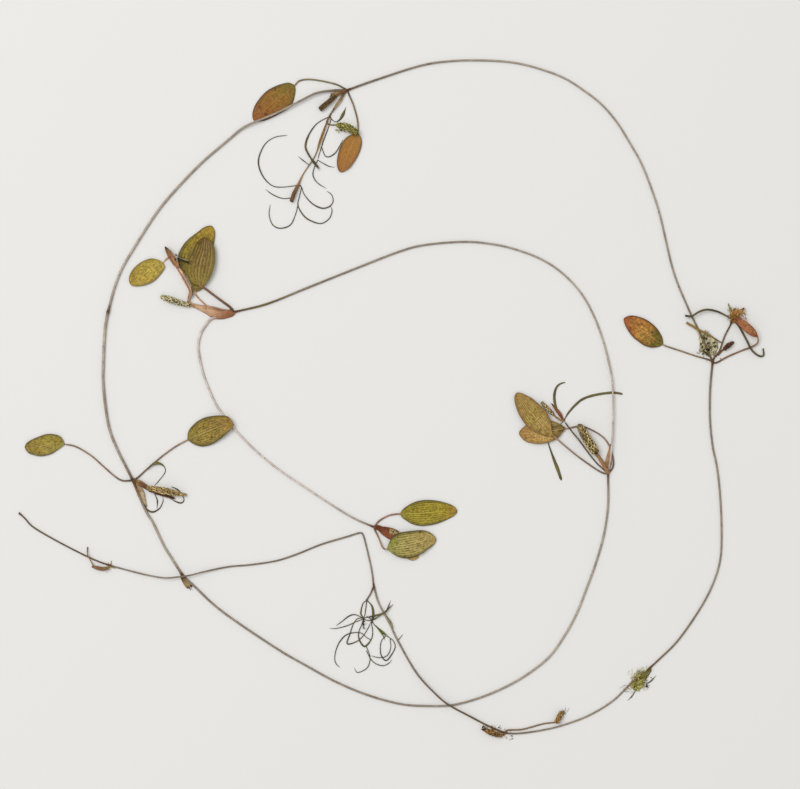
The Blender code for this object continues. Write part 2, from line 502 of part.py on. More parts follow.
def build_tufts():
    for name, threads in TUFTS.items():
        fuse(name, [thread(width, route) for width, route in threads], "thread")
    for name, branches in BUDS.items():
        fuse(name, [rod(smooth(route, THREAD_STEP), radii) for radii, route in branches], "thread")


def build_stipules():
    for name, (height, halves, route) in STIPULES.items():
        points = smooth(route, 50.0)
        add(name, sweep(points, halves, halves, [height] * len(points), ROUND_SECTION), "stipule")


def main():
    for old in list(bpy.data.objects):
        bpy.data.objects.remove(old, do_unlink=True)
    build_stems()
    build_leaves()
    build_spikes()
    build_tufts()
    build_stipules()


main()
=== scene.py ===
"""The looks of a waterthread pondweed that lies on a pale surface, seen from straight above.

Radii, widths and heights are millimetres, in the same frame as the solids. A place is at(right, down,
lift), its pixel in the photograph and how far its underside is raised, and way() holds several in order.
Most pieces stand for the solid of their name. The small sheets, the dirt and one side spike have no solid.
Colours are red, green and blue from 0 to 255.
"""

import math
import random

import bpy
import numpy as np
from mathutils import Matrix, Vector, noise


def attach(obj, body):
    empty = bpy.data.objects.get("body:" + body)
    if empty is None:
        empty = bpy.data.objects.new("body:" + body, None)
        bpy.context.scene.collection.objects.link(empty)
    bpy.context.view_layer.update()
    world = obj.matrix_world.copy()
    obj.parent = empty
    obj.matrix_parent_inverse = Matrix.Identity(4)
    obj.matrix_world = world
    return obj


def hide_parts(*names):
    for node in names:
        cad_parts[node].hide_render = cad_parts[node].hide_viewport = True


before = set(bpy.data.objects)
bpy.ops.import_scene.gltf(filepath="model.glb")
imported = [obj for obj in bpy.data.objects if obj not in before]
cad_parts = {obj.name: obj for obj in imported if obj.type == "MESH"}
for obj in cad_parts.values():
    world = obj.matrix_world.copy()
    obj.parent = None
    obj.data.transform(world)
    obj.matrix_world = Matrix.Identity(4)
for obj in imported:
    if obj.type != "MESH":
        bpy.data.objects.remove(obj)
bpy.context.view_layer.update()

MM = 0.001
VIEW_WIDTH = 272.0  # what the picture shows across, at the surface
VIEW_CENTRE = (400.0, 394.5)  # the pixel in the middle of the picture
PLANT_WIDTH = 253.3  # the spread plant's real width
PIXEL = PLANT_WIDTH / 745.0  # the photograph shows that width on 745 pixels
MIDDLE = (391.14, 398.72)  # the pixel over the origin
CAMERA_HEIGHT = 620.0
CAMERA_RANGE = (0.01, 10.0)  # metres
SENSOR = 36.0

STEM_RING = 0.6  # spacing of rings along a stem
THREAD_RING = 0.45
CURVE_STEP = 0.3  # spacing of points along margins, sheets and buds
HEAD_STEP = 0.2
FIBRE_STEP = 0.3
FIBRE_TURN = 0.6
FIBRE_RISE = 0.06
FIBRE_SIDES = 5
STEM_SIDES = 14
STALK_SIDES = 12
THREAD_SIDES = 8
STEM_ROUNDNESS = 0.93  # a round stem's radius against the corners of its six-sided solid
STEM_RIBS = 0.05  # how deep the ribs of a stem are, against its radius
STALK_RIBS = 0.08
SWELLING = 0.3  # how much thicker a stem is at its nodes
SWELLING_REACH = 0.8
SLOW_UNEVENNESS = 0.05  # of a stem's radius along it, and the quick one on top
QUICK_UNEVENNESS = 0.03
KNOT_REACH = 2.2  # how far the brown of a node fades along the stem
END_GIRTH = 0.5  # a round end is drawn in to this share of its radius
END_REACH = 0.45
AT_NODE = 0.05  # a route that starts this near a node starts in it
NODE_REACH = 2.4  # a route that starts this near a node is led back to it
PETIOLE_RADIUS = 0.28
PETIOLE_INTO = 0.05  # how far the petiole goes into the blade, against its length
BLADE_ROWS = 84
BLADE_COLUMNS = 48
BLADE_THICKNESS = 0.2
BLADE_WAVES = 0.14
BLADE_GRAIN = 0.03
VEINS = 5  # parallel veins on each side of the midrib
VEIN_SPACES = VEINS + 0.6  # spaces between veins in half a blade's width
VEIN_HEIGHTS = (0.03, 0.05)  # the even and the odd veins
VEIN_HALF = 0.035
MIDRIB_HEIGHT = 0.15
MIDRIB_HALF = 0.045
THREAD_HALF = 0.125  # half the width of a thread leaf where it is finest
THREAD_THICKNESS = 0.14
THREAD_TWIST = 0.5
THREAD_ROOT = 3.0  # a thread is fine up to here
FRUIT_RINGS = 9
FRUIT_SIDES = 10
FRUIT_DEPTH = 0.34  # how far a fruit goes into its spike, against the spike's radius
FRUIT_DIMPLE = 0.35
FRUIT_TURN = 0.15  # how uneven fruits lie round the head, in size, and along it
FRUIT_GROWTH = 0.16
FRUIT_SHIFT = 0.18
HEAD_HEIGHT = 0.95  # the middles of the head and of its core over the surface, against its radius
CORE_HEIGHT = 0.45
CORE_GIRTH = 0.55
FRUIT_TAG = 0.6  # the last number of a fruit's tag, which a stalk keeps at 0
# The core's tag gives it the painted shade tone of the crevices between the fruits.
CORE_TAG = (0.2, 0.1, FRUIT_TAG)  # the core between the fruits
SHEET_ROWS = 44
SHEET_COLUMNS = 24
SHEET_THICKNESS = 0.07
SHEET_TEETH = 1.8  # how far the ragged end of a stipule reaches
SHEET_CURVE = 1.6  # how steep its edges rise

SOFT_RADIUS = (1.0, 0.8, 0.35)  # how far light goes under the skin, in red, green and blue
SOFT_SCALE = 0.0004
BUMP_DISTANCE = 0.0002
FLOOR_HALF = 3.0  # metres, wide enough for every view
FLOOR_LEVEL = -0.00004
FLOOR_COLOUR = (0.80, 0.79, 0.765, 1.0)
SKY_STRENGTH = 0.65
LAMP_SIZE = 1.4
LAMP_ENERGY = 19.0
LAMP_PLACE = (-0.9, 0.6, 1.7)


def at(right, down, lift=0.0):
    """The place that a pixel of the photograph shows, in millimetres from the origin."""
    return ((right - MIDDLE[0]) * PIXEL, (MIDDLE[1] - down) * PIXEL, lift)


def way(*spots):
    """The places that several pixels show, each with its lift where it has one."""
    return [at(*spot) for spot in spots]


# The main stem, from the cut end to the tip: radius at the start, radius at the end, route.
STEMS = {
    "stem_base": (0.28, 0.28, way((19.2, 513), (25.3, 518.7), (33, 526.8), (52.1, 538.3), (78.9, 552.4),
        (98, 561.2), (109.4, 565.1))),
    "stem_long_run": (0.28, 0.3, way((110.8, 565.6), (130, 570.8), (148, 575, 0.4), (165, 577.5, 1),
        (178, 576.6, 1.15), (190, 575, 1.1), (204.2, 571.5, 0.7), (228.4, 566.7, 0.1), (250, 564.8),
        (275.5, 560.9), (295.9, 554.5), (321.4, 544.3), (346.9, 536.7), (359.8, 532.8), (363, 534.8),
        (366.1, 545.6), (371.6, 570), (373.6, 585.4))),
    "stem_lower_diagonal": (0.34, 0.32, way((374.1, 587.2), (378.1, 601.4), (384.1, 613.4), (390, 624.2),
        (396.6, 638.3), (410.2, 663, 0.1), (420, 677.3, 0.5), (432, 690, 1), (444, 701, 1.1), (455, 708, 1),
        (470, 716.1, 0.4), (486.6, 725), (503.4, 732.2))),
    "stem_bottom_right": (0.3, 0.3, way((505.2, 733), (518.5, 733.3), (540.2, 730.4), (562.5, 725.2),
        (588.8, 715.3), (612.8, 700.7), (630.6, 683.4), (640.8, 676.2), (648.8, 668.8))),
    "stem_right_side": (0.31, 0.36, way((650, 667.4), (656.1, 661.9), (678.1, 640), (701, 606.8),
        (713.8, 581.3), (720.2, 558.4), (721.4, 532.9), (720.2, 499.7), (717.1, 469.1), (712.5, 446.1),
        (709.9, 420.6), (709.9, 390), (712.3, 362.9))),
    "stem_top_arc": (0.34, 0.37, way((712.2, 361.2), (705.9, 347.1), (698.8, 330.8), (687.6, 307.3),
        (673, 270.4), (660.2, 216.8), (651.3, 188.8), (641.1, 163.3), (629.6, 142.9), (616.8, 122.4),
        (601.5, 104.6), (583.7, 90.6), (563.3, 77.8), (537.8, 68.4), (512.2, 62.5), (481.6, 60.5),
        (451, 61.2), (420.4, 65.8), (375, 80.3), (348.3, 89.9))),
    "stem_left_upper": (0.38, 0.44, way((346.4, 90.4), (334.7, 90.6, 0.3), (317.4, 93.3, 0.65),
        (304.4, 99.3, 0.75), (278.4, 112.8, 0.75), (254.5, 122.6, 0.7), (241.5, 129.1, 0.3), (229.6, 139),
        (204.1, 160.7), (183.7, 181.1), (163.3, 204.1), (150.5, 221.9), (135.2, 246.2), (122.4, 267.9),
        (114.5, 288), (108.5, 310.8))),
    "stem_left_lower": (0.48, 0.45, way((108, 312.6), (105.1, 330.2), (103.3, 365.9), (103.8, 390),
        (108.9, 426.4), (117.7, 449.9), (126.5, 467.5), (132.4, 479.1))),
    "stem_inner_left": (0.42, 0.44, way((134, 483), (139.6, 496.6), (147.4, 513.6), (153.1, 522.7),
        (163.7, 545), (172.3, 559), (181.9, 574.1))),
    "stem_inner_bottom": (0.38, 0.35, way((183.1, 575.6), (194, 585.8), (222.1, 611.3), (275.5, 647.7),
        (306.1, 665.5), (336.7, 682.1), (367.3, 694.8), (400, 703.8), (425.5, 705.8), (451, 705.1),
        (476.5, 698.7), (502, 688.5), (525, 675.7), (548, 657.9), (563.3, 637.4), (576, 614.5),
        (586.2, 589), (596.4, 560.9), (604.1, 532.9), (607.9, 504.8), (607.9, 474))),
    "stem_inner_arc": (0.34, 0.36, way((608, 472), (610, 461, 0.5), (611, 450, 0.8), (612.4, 430, 0.8),
        (612.8, 410, 0.8), (612.4, 392.6, 0.8), (611, 375, 0.5), (604.1, 344.4), (593.9, 316.3),
        (581.1, 293.4), (563.3, 274.2), (542.9, 260.2), (517.3, 250), (491.8, 244.1), (463.8, 241.8),
        (425.5, 244.9), (400, 251.3), (357.1, 267.9), (306.1, 288.3), (267.9, 303.6), (235.4, 311.8))),
    "stem_tip_run": (0.42, 0.34, way((219, 316.4), (214, 318), (210.4, 319.6), (206.6, 324), (201, 333),
        (198.4, 343.4), (198.7, 352.3), (203.5, 374.6), (213.7, 400), (221.9, 413), (237.2, 432.1),
        (257.7, 452.5), (278.1, 469.1), (306.1, 488.2), (348.7, 515.4), (372.8, 526.6))),
}

SIDE_SHOOTS = {
    "side_shoot_top_upper": (0.3, 0.26, way((343.2, 94.8), (335.8, 105.8), (330, 115.2), (329.2, 117.2))),
    "side_shoot_right": (0.28, 0.28, way((714.6, 357.2), (719.2, 351.2), (724.3, 336.9), (729.4, 326.8),
        (731.4, 321.8))),
    "side_shoot_inner_right": (0.26, 0.24, way((603.9, 469.9), (597, 463.5), (589.5, 454.6, 0.1),
        (579.6, 441.3, 0.5), (572.1, 432.2, 0.85), (568, 427, 0.9), (565.2, 422.8, 0.7))),
    "side_shoot_tuft": (0.28, 0.26, way((372.2, 589.6), (370.5, 593.9), (367.6, 598.4), (366.4, 600.8))),
}

# Floating leaves: the petiole's route, the blade's base and tip, and its two margins between them.
LEAVES = {
    "leaf_tip_upper": dict(
        petiole=way((375.9, 524.6), (377.5, 522.5), (380.6, 519.8), (388.9, 515.4), (398, 513.9)),
        base=at(399.8, 513.9), tip=at(457, 511.2),
        one=way((402.4, 509.8), (406.4, 506.4), (413.9, 502.3), (423, 500.1), (433.8, 500.2),
            (443.7, 502.2), (452.2, 505.2), (456, 508.4)),
        two=way((402.2, 517.6), (405.8, 520.2), (411.9, 523.8), (421.3, 525.8), (433.8, 524.3),
            (443.7, 521), (452.4, 516.8), (455.8, 514))),
    "leaf_tip_lower": dict(
        petiole=way((374.6, 529.4), (376.3, 532.8), (378.2, 536.7), (380.6, 542.5, 0.3),
            (382.6, 547.2, 0.6), (385.2, 549.1, 0.8)),
        base=at(386.8, 549, 0.8), tip=at(436.1, 539.4, 0.2),
        one=way((388.6, 543.7, 0.8), (391.6, 538.2, 0.9), (397.4, 533.4, 0.9), (404.5, 531.4, 0.8),
            (419.8, 530, 0.5), (427.3, 531.2, 0.3), (433, 534.6, 0.2)),
        two=way((389.8, 551, 0.8), (394.4, 554.6, 0.8), (400.4, 557.2, 0.8), (408.6, 557.9, 0.8),
            (420.8, 553.9, 0.6), (426.8, 549.7, 0.4), (433.4, 544.8, 0.2))),
    "leaf_tip_young": dict(
        petiole=way((381, 530.8), (387, 534.6), (390.4, 537.6)),
        base=at(391.6, 539.2), tip=at(416.6, 559.2),
        one=way((398, 541), (406.5, 546.6), (414, 551.5), (418.8, 555.8)),
        two=way((394.6, 545.6), (400.6, 552.6), (406.6, 558), (411.6, 560.4))),
    "leaf_big_purple": dict(
        petiole=way((233, 310.8), (229.4, 306.5), (219.6, 299.4, 0.3), (207.7, 290.4, 0.8),
            (203.6, 287.6, 0.9)), thick=0.42,
        base=at(199.8, 285.8, 0.9), tip=at(205, 237.6, 0.9),
        one=way((204, 286, 0.9), (207.8, 282.6, 0.9), (211, 277.6, 0.9), (213.9, 270.4, 1), (215.6, 262, 1),
            (215.8, 255, 1), (215, 248.4, 1), (212.8, 243.2, 0.9), (210, 239.8, 0.9)),
        two=way((193.4, 283.8, 0.9), (188.2, 278.4, 0.9), (185.6, 271, 1), (186.4, 262.2, 1),
            (189.8, 255.6, 1), (193, 250.4, 1), (195.6, 245, 1), (199.4, 240.4, 0.9))),
    "leaf_big_olive": dict(
        petiole=way((232, 311.6), (225.5, 310.4, 0.4), (215.6, 307.8, 0.4), (207.3, 305.7), (200.8, 300.4),
            (196.2, 295.2)),
        base=at(195.2, 292.2), tip=at(212.2, 226.3),
        one=way((200.4, 290.4), (204, 286.4), (208, 276), (211, 262), (213.2, 248), (214.8, 238),
            (214.8, 231)),
        two=way((192.2, 286.6), (188.6, 279.6), (184.2, 273), (180.4, 268.4), (178.3, 262), (178.6, 254.6),
            (180.8, 249.2), (184.1, 244), (188.3, 239.4), (193, 235.6), (197.7, 232.2), (203.4, 227.9),
            (208.2, 226))),
    "leaf_small_oval": dict(
        petiole=way((231, 313), (220, 313.4, 0.3), (206, 309.8), (194, 306.4), (188.4, 302.6),
            (188.9, 298.6), (190.8, 294.6, 0.2), (188.8, 288.8, 0.3), (185.8, 283.2, 0.5),
            (181.6, 275.6, 0.3), (177.6, 268.8), (172.6, 261), (169.2, 257.6), (165.6, 259.8)),
        base=at(163.2, 262.8), tip=at(130.8, 284.6),
        one=way((160.4, 260.8), (156.2, 259.2), (151.1, 258.6), (146, 260), (140.1, 262.9), (134.2, 268),
            (130.4, 274), (129.2, 280)),
        two=way((165, 267), (163.2, 271), (159.5, 276), (153.6, 281.5), (146, 285), (139.2, 286.3),
            (133.8, 286.2))),
    "leaf_folded_long": dict(
        petiole=way((231, 312.4), (219, 311.4, 0.4), (207, 308.4, 0.3), (194.4, 304.6), (189, 301.8),
            (189.8, 298.4, 0.3), (191.9, 294.4, 0.8), (190.6, 288, 0.9), (187.4, 281.6, 0.95),
            (183, 274, 0.95), (180, 269.4, 0.95)), thick=0.4,
        base=at(179.2, 268.6, 0.95), tip=at(165.5, 246.8, 0.5),
        one=way((179.4, 263.9, 0.95), (176.7, 259.2, 0.9), (173.4, 254, 0.8), (169.4, 249.2, 0.6)),
        two=way((175, 266.6, 0.6), (171.4, 261.6, 0.5), (168.1, 256.2, 0.4), (166, 251.4, 0.3))),
    "leaf_right_tan": dict(
        petiole=way((603.6, 473.2), (595.3, 468.7), (578.8, 457.1, 0.2), (566.3, 447.1, 0.8),
            (557.2, 439.4, 1.25)),
        base=at(554, 436.6, 1.35), tip=at(516.6, 392.8, 0.3),
        one=way((551.6, 431, 1.35), (551, 425.6, 1.3), (549.6, 419, 1.2), (546.4, 412.3, 1.1),
            (542, 407.4, 1), (536.2, 401.9, 0.8), (531, 397.8, 0.6), (525, 394.6, 0.4),
            (520.6, 392.8, 0.3)),
        two=way((548.2, 436, 1.3), (540.9, 434.6, 1.2), (533.3, 431.1, 1.1), (527.4, 426.6, 1),
            (523, 421.6, 0.9), (519, 415, 0.7), (516, 407.6, 0.5), (514.4, 401, 0.4), (514.4, 396, 0.3))),
    "leaf_right_olive": dict(
        petiole=way((609.6, 471.6), (612.6, 467.6), (613.4, 461.2), (611.4, 451), (607.4, 442.6),
            (602, 436.3), (591.2, 429.7), (581, 426), (574.6, 426.8), (568.4, 428.3, 0.1)),
        base=at(565.6, 428.4, 0.4), tip=at(519, 433.4),
        one=way((562, 425, 0.4), (556.4, 422.2, 0.4), (550, 420.2, 0.5), (543, 419.6, 0.5), (535, 421, 0.4),
            (528, 423.8, 0.3), (522.4, 428)),
        two=way((562.2, 432.6, 0.4), (559.2, 436.4, 0.4), (555, 439.6, 0.4), (549.2, 442, 0.4),
            (540.9, 443.7, 0.3), (531.5, 443.2, 0.2), (524, 440.4))),
    "leaf_left_small": dict(
        petiole=way((129.6, 480.6), (122.1, 480.5), (114.8, 476.3), (103, 466), (91.3, 455.7),
            (76.6, 446.9), (66, 444.4)),
        base=at(64.8, 444.3), tip=at(25.2, 447.6),
        one=way((62.6, 439), (58.8, 435.4), (51.6, 433.9), (45.2, 434.4), (38, 437), (31.6, 439.8),
            (27.2, 442.8)),
        two=way((59.6, 448.6), (53.2, 453), (46.8, 455.4), (40.4, 456.2), (34, 455), (28.4, 452.7))),
    "leaf_left_speckled": dict(
        petiole=way((137.9, 477.4), (146.2, 469.8), (154.5, 462.6), (164.5, 454.4), (176.1, 446.2),
            (185.6, 441)),
        base=at(187.6, 440), tip=at(234, 424, 1.1),
        one=way((188.2, 432.5), (191.9, 426.5), (197.7, 421.2, 0.2), (205.2, 417.5, 0.5),
            (213.5, 415.8, 0.8), (221.8, 415.4, 1.1), (228.9, 416.8, 1.2)),
        two=way((191.4, 442.6), (196.1, 445.1), (202.7, 446.5), (209.4, 445.2, 0.2), (215.2, 442.6, 0.4),
            (221.8, 438, 0.9), (227.6, 433, 1.1), (232, 428.8, 1.1))),
    "leaf_top_olive": dict(
        petiole=way((343.4, 88), (335.8, 84.3), (321.7, 81), (308.7, 79.4), (300.1, 80.6), (296.2, 83.6)),
        base=at(294.9, 85.4), tip=at(254, 120.6),
        one=way((289, 82.8), (281.4, 84.1), (274.5, 86.7), (267.5, 90.6), (261.5, 96.3), (256.3, 103.2),
            (253.2, 110.1), (252.4, 116.4)),
        two=way((295.5, 91), (294, 99), (291.4, 105), (286.4, 109.8), (279, 114.2), (271, 118.2),
            (264, 120.9), (258, 121.7))),
    "leaf_top_orange": dict(
        petiole=way((348.9, 94.6), (353.2, 104.7), (357, 117.7), (358.2, 128)),
        base=at(357.8, 132.6), tip=at(341.6, 172.4),
        one=way((360.4, 136.5), (361.7, 141), (361.2, 147.5), (358.6, 154.5), (354.2, 162.1),
            (348.6, 168.9)),
        two=way((351.5, 134.8), (345.5, 138.6), (340.8, 146), (338, 154.5), (336.9, 163), (338.2, 169.8))),
    "leaf_far_right_red": dict(
        petiole=way((708.4, 359.6), (696.7, 356.3), (681.4, 351.2), (671.2, 347.9), (664.6, 345.6)),
        base=at(663, 344.6), tip=at(623.9, 318.4),
        one=way((662.4, 338.5), (660, 333), (656, 327.5), (650.5, 322.6), (644.3, 318.8), (637.3, 316.4),
            (630, 315.6)),
        two=way((658.5, 346.8), (651.4, 347.6), (644.3, 345.6), (638.3, 341.6), (632.2, 336.5),
            (627.1, 329.4), (624.3, 323.3))),
    "leaf_far_right_folded": dict(
        petiole=way((716.2, 362.8), (727.3, 356.8), (742.7, 350.2), (750.9, 347.1, 0.3), (757, 343, 0.7)),
        base=at(757.2, 337.6, 1.1), tip=at(731.5, 318.6, 1.2),
        one=way((754.2, 330.7, 1.3), (747.8, 324.1, 1.5), (740.6, 319.4, 1.4)),
        two=way((751.6, 336.8, 0.9), (744.6, 332.5, 1), (737.8, 326, 1.1))),
}

# Spikes: the stalk's route and radius, the head's route and radii, rows of fruits, fruits in a row.
SPIKES = {
    "spike_bud_tip": (way((378.2, 525.6), (385, 528)), 0.2, way((389.6, 530.6), (393.6, 531.8),
        (397.4, 533.6)), [0.8, 1, 0.6], 4, 6),
    "spike_big_leaf": (way((222, 314.6), (210.6, 311.4), (199.5, 308), (191.5, 305.8)), 0.42,
        way((189.6, 305.6), (175, 301.2), (161.3, 296.6)), [0.8, 1, 1.2, 1.2, 0.75], 10, 7),
    "spike_inner_right_large": (way((606.6, 470.6), (600.4, 460, 0.1)), 0.6, way((595.4, 452.6, 0.2),
        (586.6, 439, 0.3), (578.4, 424.8, 0.5)), [1.55, 1.75, 1.75, 1.65, 1.1], 11, 8),
    "spike_inner_right_small": (way((560.2, 420, 0.2), (556, 417.2)), 0.3, way((552.6, 414),
        (541.4, 402.2)), [0.7, 0.85, 0.6], 7, 6),
    "spike_left": (way((139.4, 482.6), (143.6, 484.6, 0.2)), 0.4, way((147.4, 487.4, 0.4),
        (157, 489.2, 0.5), (170, 491.6, 0.5), (179, 493.6, 0.4), (186.2, 494.8, 0.4)),
        [0.85, 1.05, 1.4, 1.3, 0.85, 0.5], 13, 8),
    "spike_left_side": (way((137.6, 482.6), (146, 488.4)), 0.35, way((149, 489.8), (157, 492.6),
        (166, 495.6), (174.5, 498.4)), [0.6, 0.7, 0.6, 0.4], 9, 6),
    "spike_top_dark": (way((343, 92.4), (338, 94.8)), 0.35, way((335.6, 96.4), (328, 103), (320, 109.6)),
        [0.75, 0.95, 1, 0.95], 14, 9),
    "spike_top_green": (way((326.6, 122.4), (330, 124.8), (334.4, 125)), 0.22, way((337, 125),
        (347, 127.6, 0.1), (357.2, 133.8, 0.5)), [0.8, 1.35, 1.5, 1.2], 8, 7),
    "spike_far_right": (way((717.6, 355), (722, 350.4)), 0.3, way((723.6, 349.4), (728, 345.4),
        (733.4, 342)), [0.7, 1, 0.45], 6, 6),
    "spike_bottom": (way((504.2, 734.4), (502.8, 734.8)), 0.3, way((501.6, 735), (492, 732.6),
        (483.4, 728.6)), [0.8, 1.05, 1.05, 0.95, 0.7], 8, 7),
    "spike_bottom_side": (way((507.4, 730.1), (521, 729.4), (531.2, 727), (542.7, 723.8), (552, 722.6)),
        0.24, way((556.4, 722.2), (558.8, 717), (561.4, 711.2)), [0.95, 1.05, 1, 0.7], 6, 7),
}

# Strap and thread leaves. Each tuft is a list of threads: widest half width, route, and for an unusual one
# where it is widest, how far it stays so, and how long its tip is.
TUFTS = {
    "strap_leaf_inner_upper": [
        (0.42, way((562.6, 418), (558, 412.3), (554.9, 403.2), (554.3, 394.9), (556.4, 387.4),
            (560.5, 383.7), (565.5, 382.3)), 0.5, 0.4, 0.6)],
    "strap_leaf_inner_long": [
        (0.42, way((566, 416.6), (568.8, 412.3), (574.6, 405.7), (582.9, 399), (595.3, 394.9),
            (611.9, 392.6), (622.7, 394)), 0.6, 0.7, 0.4)],
    "strap_leaf_inner_lower": [
        (0.55, way((561.4, 423.2), (556, 428), (550.2, 433), (547.4, 438), (549, 445.6), (553.9, 459.5),
            (558.1, 470.3), (561.4, 480.3)), 0.86, 0.3, 0.8)],
    "strap_leaf_top": [
        (0.34, way((325.6, 118.4), (316.3, 124.2), (308.7, 135), (305.5, 145.9), (308.2, 154, 0.5),
            (312.6, 160.6, 0.8), (317.6, 166, 0.75), (319.8, 168.6, 0.7)), 0.6, 0.3, 1.2),
        (0.5, way((308.2, 154, 0.7), (311.4, 159.4, 1), (314.6, 163.4, 1), (317.6, 167.6, 0.9),
            (319, 170.4, 0.8)), 0.55, 0.3, 1.2),
        (0.18, way((309.4, 165.4, 0.5), (303, 160.4), (297.9, 156.2)))],
    "threads_top_upper": [
        (0.52, way((330.6, 118), (334.7, 121.8), (339.2, 120.2), (343, 114.6), (346, 107)), 0.66, 0.18),
        (0.2, way((331.2, 118.2), (328.4, 127.5), (323.4, 141), (319, 155), (317.6, 160.6))),
        (0.2, way((321.6, 147), (325, 155.7), (329.3, 156.7), (334.7, 153.5), (338.2, 148.6),
            (343, 139.6))),
        (0.16, way((317.8, 160.2), (321.2, 162.2), (328.2, 166), (334.7, 167.6))),
        (0.18, way((317.8, 160), (314.6, 166.6), (313, 175.2), (317.4, 182.8), (326.6, 188.7)))],
    "threads_top_left": [
        (0.24, way((294.2, 185.8), (282.7, 187.1), (272.9, 186), (264.3, 178.4), (258.9, 166.5),
            (259.4, 155.7), (265.4, 143.7), (275.1, 137.2), (287.6, 135.3))),
        (0.18, way((291.4, 197.9), (282.7, 198.5), (272.9, 194.7), (265.4, 189.3)))],
    "threads_top_lower": [
        (0.26, way((301.6, 187.4), (304.4, 194.7), (312, 203.4), (321.7, 208.2), (329.3, 206.6),
            (333.1, 201.2), (331.5, 194.7), (326.6, 190.9))),
        (0.24, way((301.4, 187.2), (299.6, 196), (298, 205.6), (304.4, 216.4), (313.1, 221.8),
            (321.7, 223.4), (329.3, 218.5), (332, 210.9), (330.4, 205.5))),
        (0.2, way((298.2, 204), (295.2, 215.3), (290.3, 225), (280.5, 228.3), (272.9, 225), (269.2, 215.3),
            (270.2, 204.4)))],
    "threads_left": [
        (0.5, way((146.6, 470, 0.4), (149.8, 466.8, 0.8), (153, 464.2, 0.8), (158, 463, 0.7),
            (162.4, 464.8, 0.3), (165, 468), (165.4, 471.4), (163.4, 475), (158.8, 480.8), (154, 486.2)),
            0.27, 0.13),
        (0.24, way((154.6, 494), (156.9, 498.9), (157.4, 503.1), (156.9, 508.6))),
        (0.3, way((139.4, 495.6, 0.4), (142.8, 503.1), (145.8, 507.8), (148.7, 510.7), (152.5, 512),
            (156.3, 510.7), (159.9, 508), (161.9, 504.4), (163.1, 501), (162.8, 496.8))),
        (0.26, way((171.5, 486.7), (175.7, 488.4), (179, 490.5), (182, 493))),
        (0.26, way((182.6, 495.6), (183.9, 498.9), (183.7, 501), (182, 502.7), (179.9, 502.9),
            (176.5, 501.9), (173.1, 500.2), (169.4, 498.6)))],
    "threads_tuft": [
        (0.26, way((366.7, 600.4), (362.9, 603.6), (360.8, 613.4), (362.9, 617.7), (364, 626.4))),
        (0.17, way((366.7, 600.4), (365.1, 613.4), (364, 618.4))),
        (0.42, way((366.9, 600.4), (371.8, 605.8), (373.2, 614.5), (371.6, 622.4)), 0.6, 0.4),
        (0.36, way((364, 617.8), (374.9, 615.5, 0.4), (383.5, 612.8, 0.9), (390, 606.9, 0.4),
            (393.3, 604.5)), 0.5, 0.35),
        (0.26, way((364.4, 619.6), (370, 620.6), (376, 618, 0.4), (382, 614.4, 0.7))),
        (0.2, way((366.6, 616), (371.4, 619.6, 0.3), (373.8, 624.4))),
        (0.22, way((363.6, 618.4), (355.4, 614.7), (348.9, 616.1), (341.3, 622), (335.8, 625.8))),
        (0.15, way((363.8, 618.6), (355.4, 622), (346.7, 625.8), (335.8, 628.5), (329.3, 628.5))),
        (0.22, way((364, 618), (357.5, 618.6), (353.2, 624.2), (349.9, 634), (347.2, 643.7), (356.4, 641.6),
            (362.9, 636.1), (368.4, 627.5), (371, 621.6))),
        (0.3, way((371.2, 621.8), (372.7, 632.9), (370.5, 640.5), (364.6, 646.4), (359.7, 640.5),
            (358.6, 633), (361.8, 624.2), (364, 619))),
        (0.2, way((371, 640), (366.2, 637.2), (360.8, 632.9), (352.1, 632.9), (344.5, 636.1), (338, 644.8),
            (334.8, 655.7), (335.8, 663.2), (340.2, 667.6))),
        (0.2, way((371.4, 621.6), (379.2, 629.6), (386.4, 636.6)), 0.75, 0.3),
        (0.22, way((385.8, 635.8), (381.6, 640.6), (380.3, 647.9), (381.4, 655.7), (386.3, 660.5),
            (392.2, 653.5), (395.2, 646.4), (392.6, 640), (386, 636))),
        (0.15, way((390.2, 638.6), (390.6, 648.1), (386.8, 655.7), (379.2, 657.6), (370.5, 655.7))),
        (0.15, way((365.8, 645.6), (369.5, 654.6), (369.6, 662.2), (366.2, 668.7), (357.5, 672.5),
            (354.3, 667.6))),
        (0.2, way((385.7, 611.2, 0.7), (388.8, 605.4), (390.6, 600.4))),
        (0.16, way((366.4, 650.6), (370.4, 658.6), (376, 663.8), (383.4, 665.6), (389, 663), (392, 659.6))),
        (0.16, way((396.8, 640.4, 0.3), (399.4, 638.6), (403.1, 634)))],
    "threads_right": [
        (0.35, way((651.2, 669.9), (648, 675.5), (643.8, 681), (641.8, 686.6), (635.6, 690),
            (632.6, 687.6))),
        (0.22, way((643.4, 682), (647.4, 683.2), (651.6, 680.3), (656.1, 675.7))),
        (0.22, way((636, 689.8), (632, 696), (627.6, 700.7)))],
}

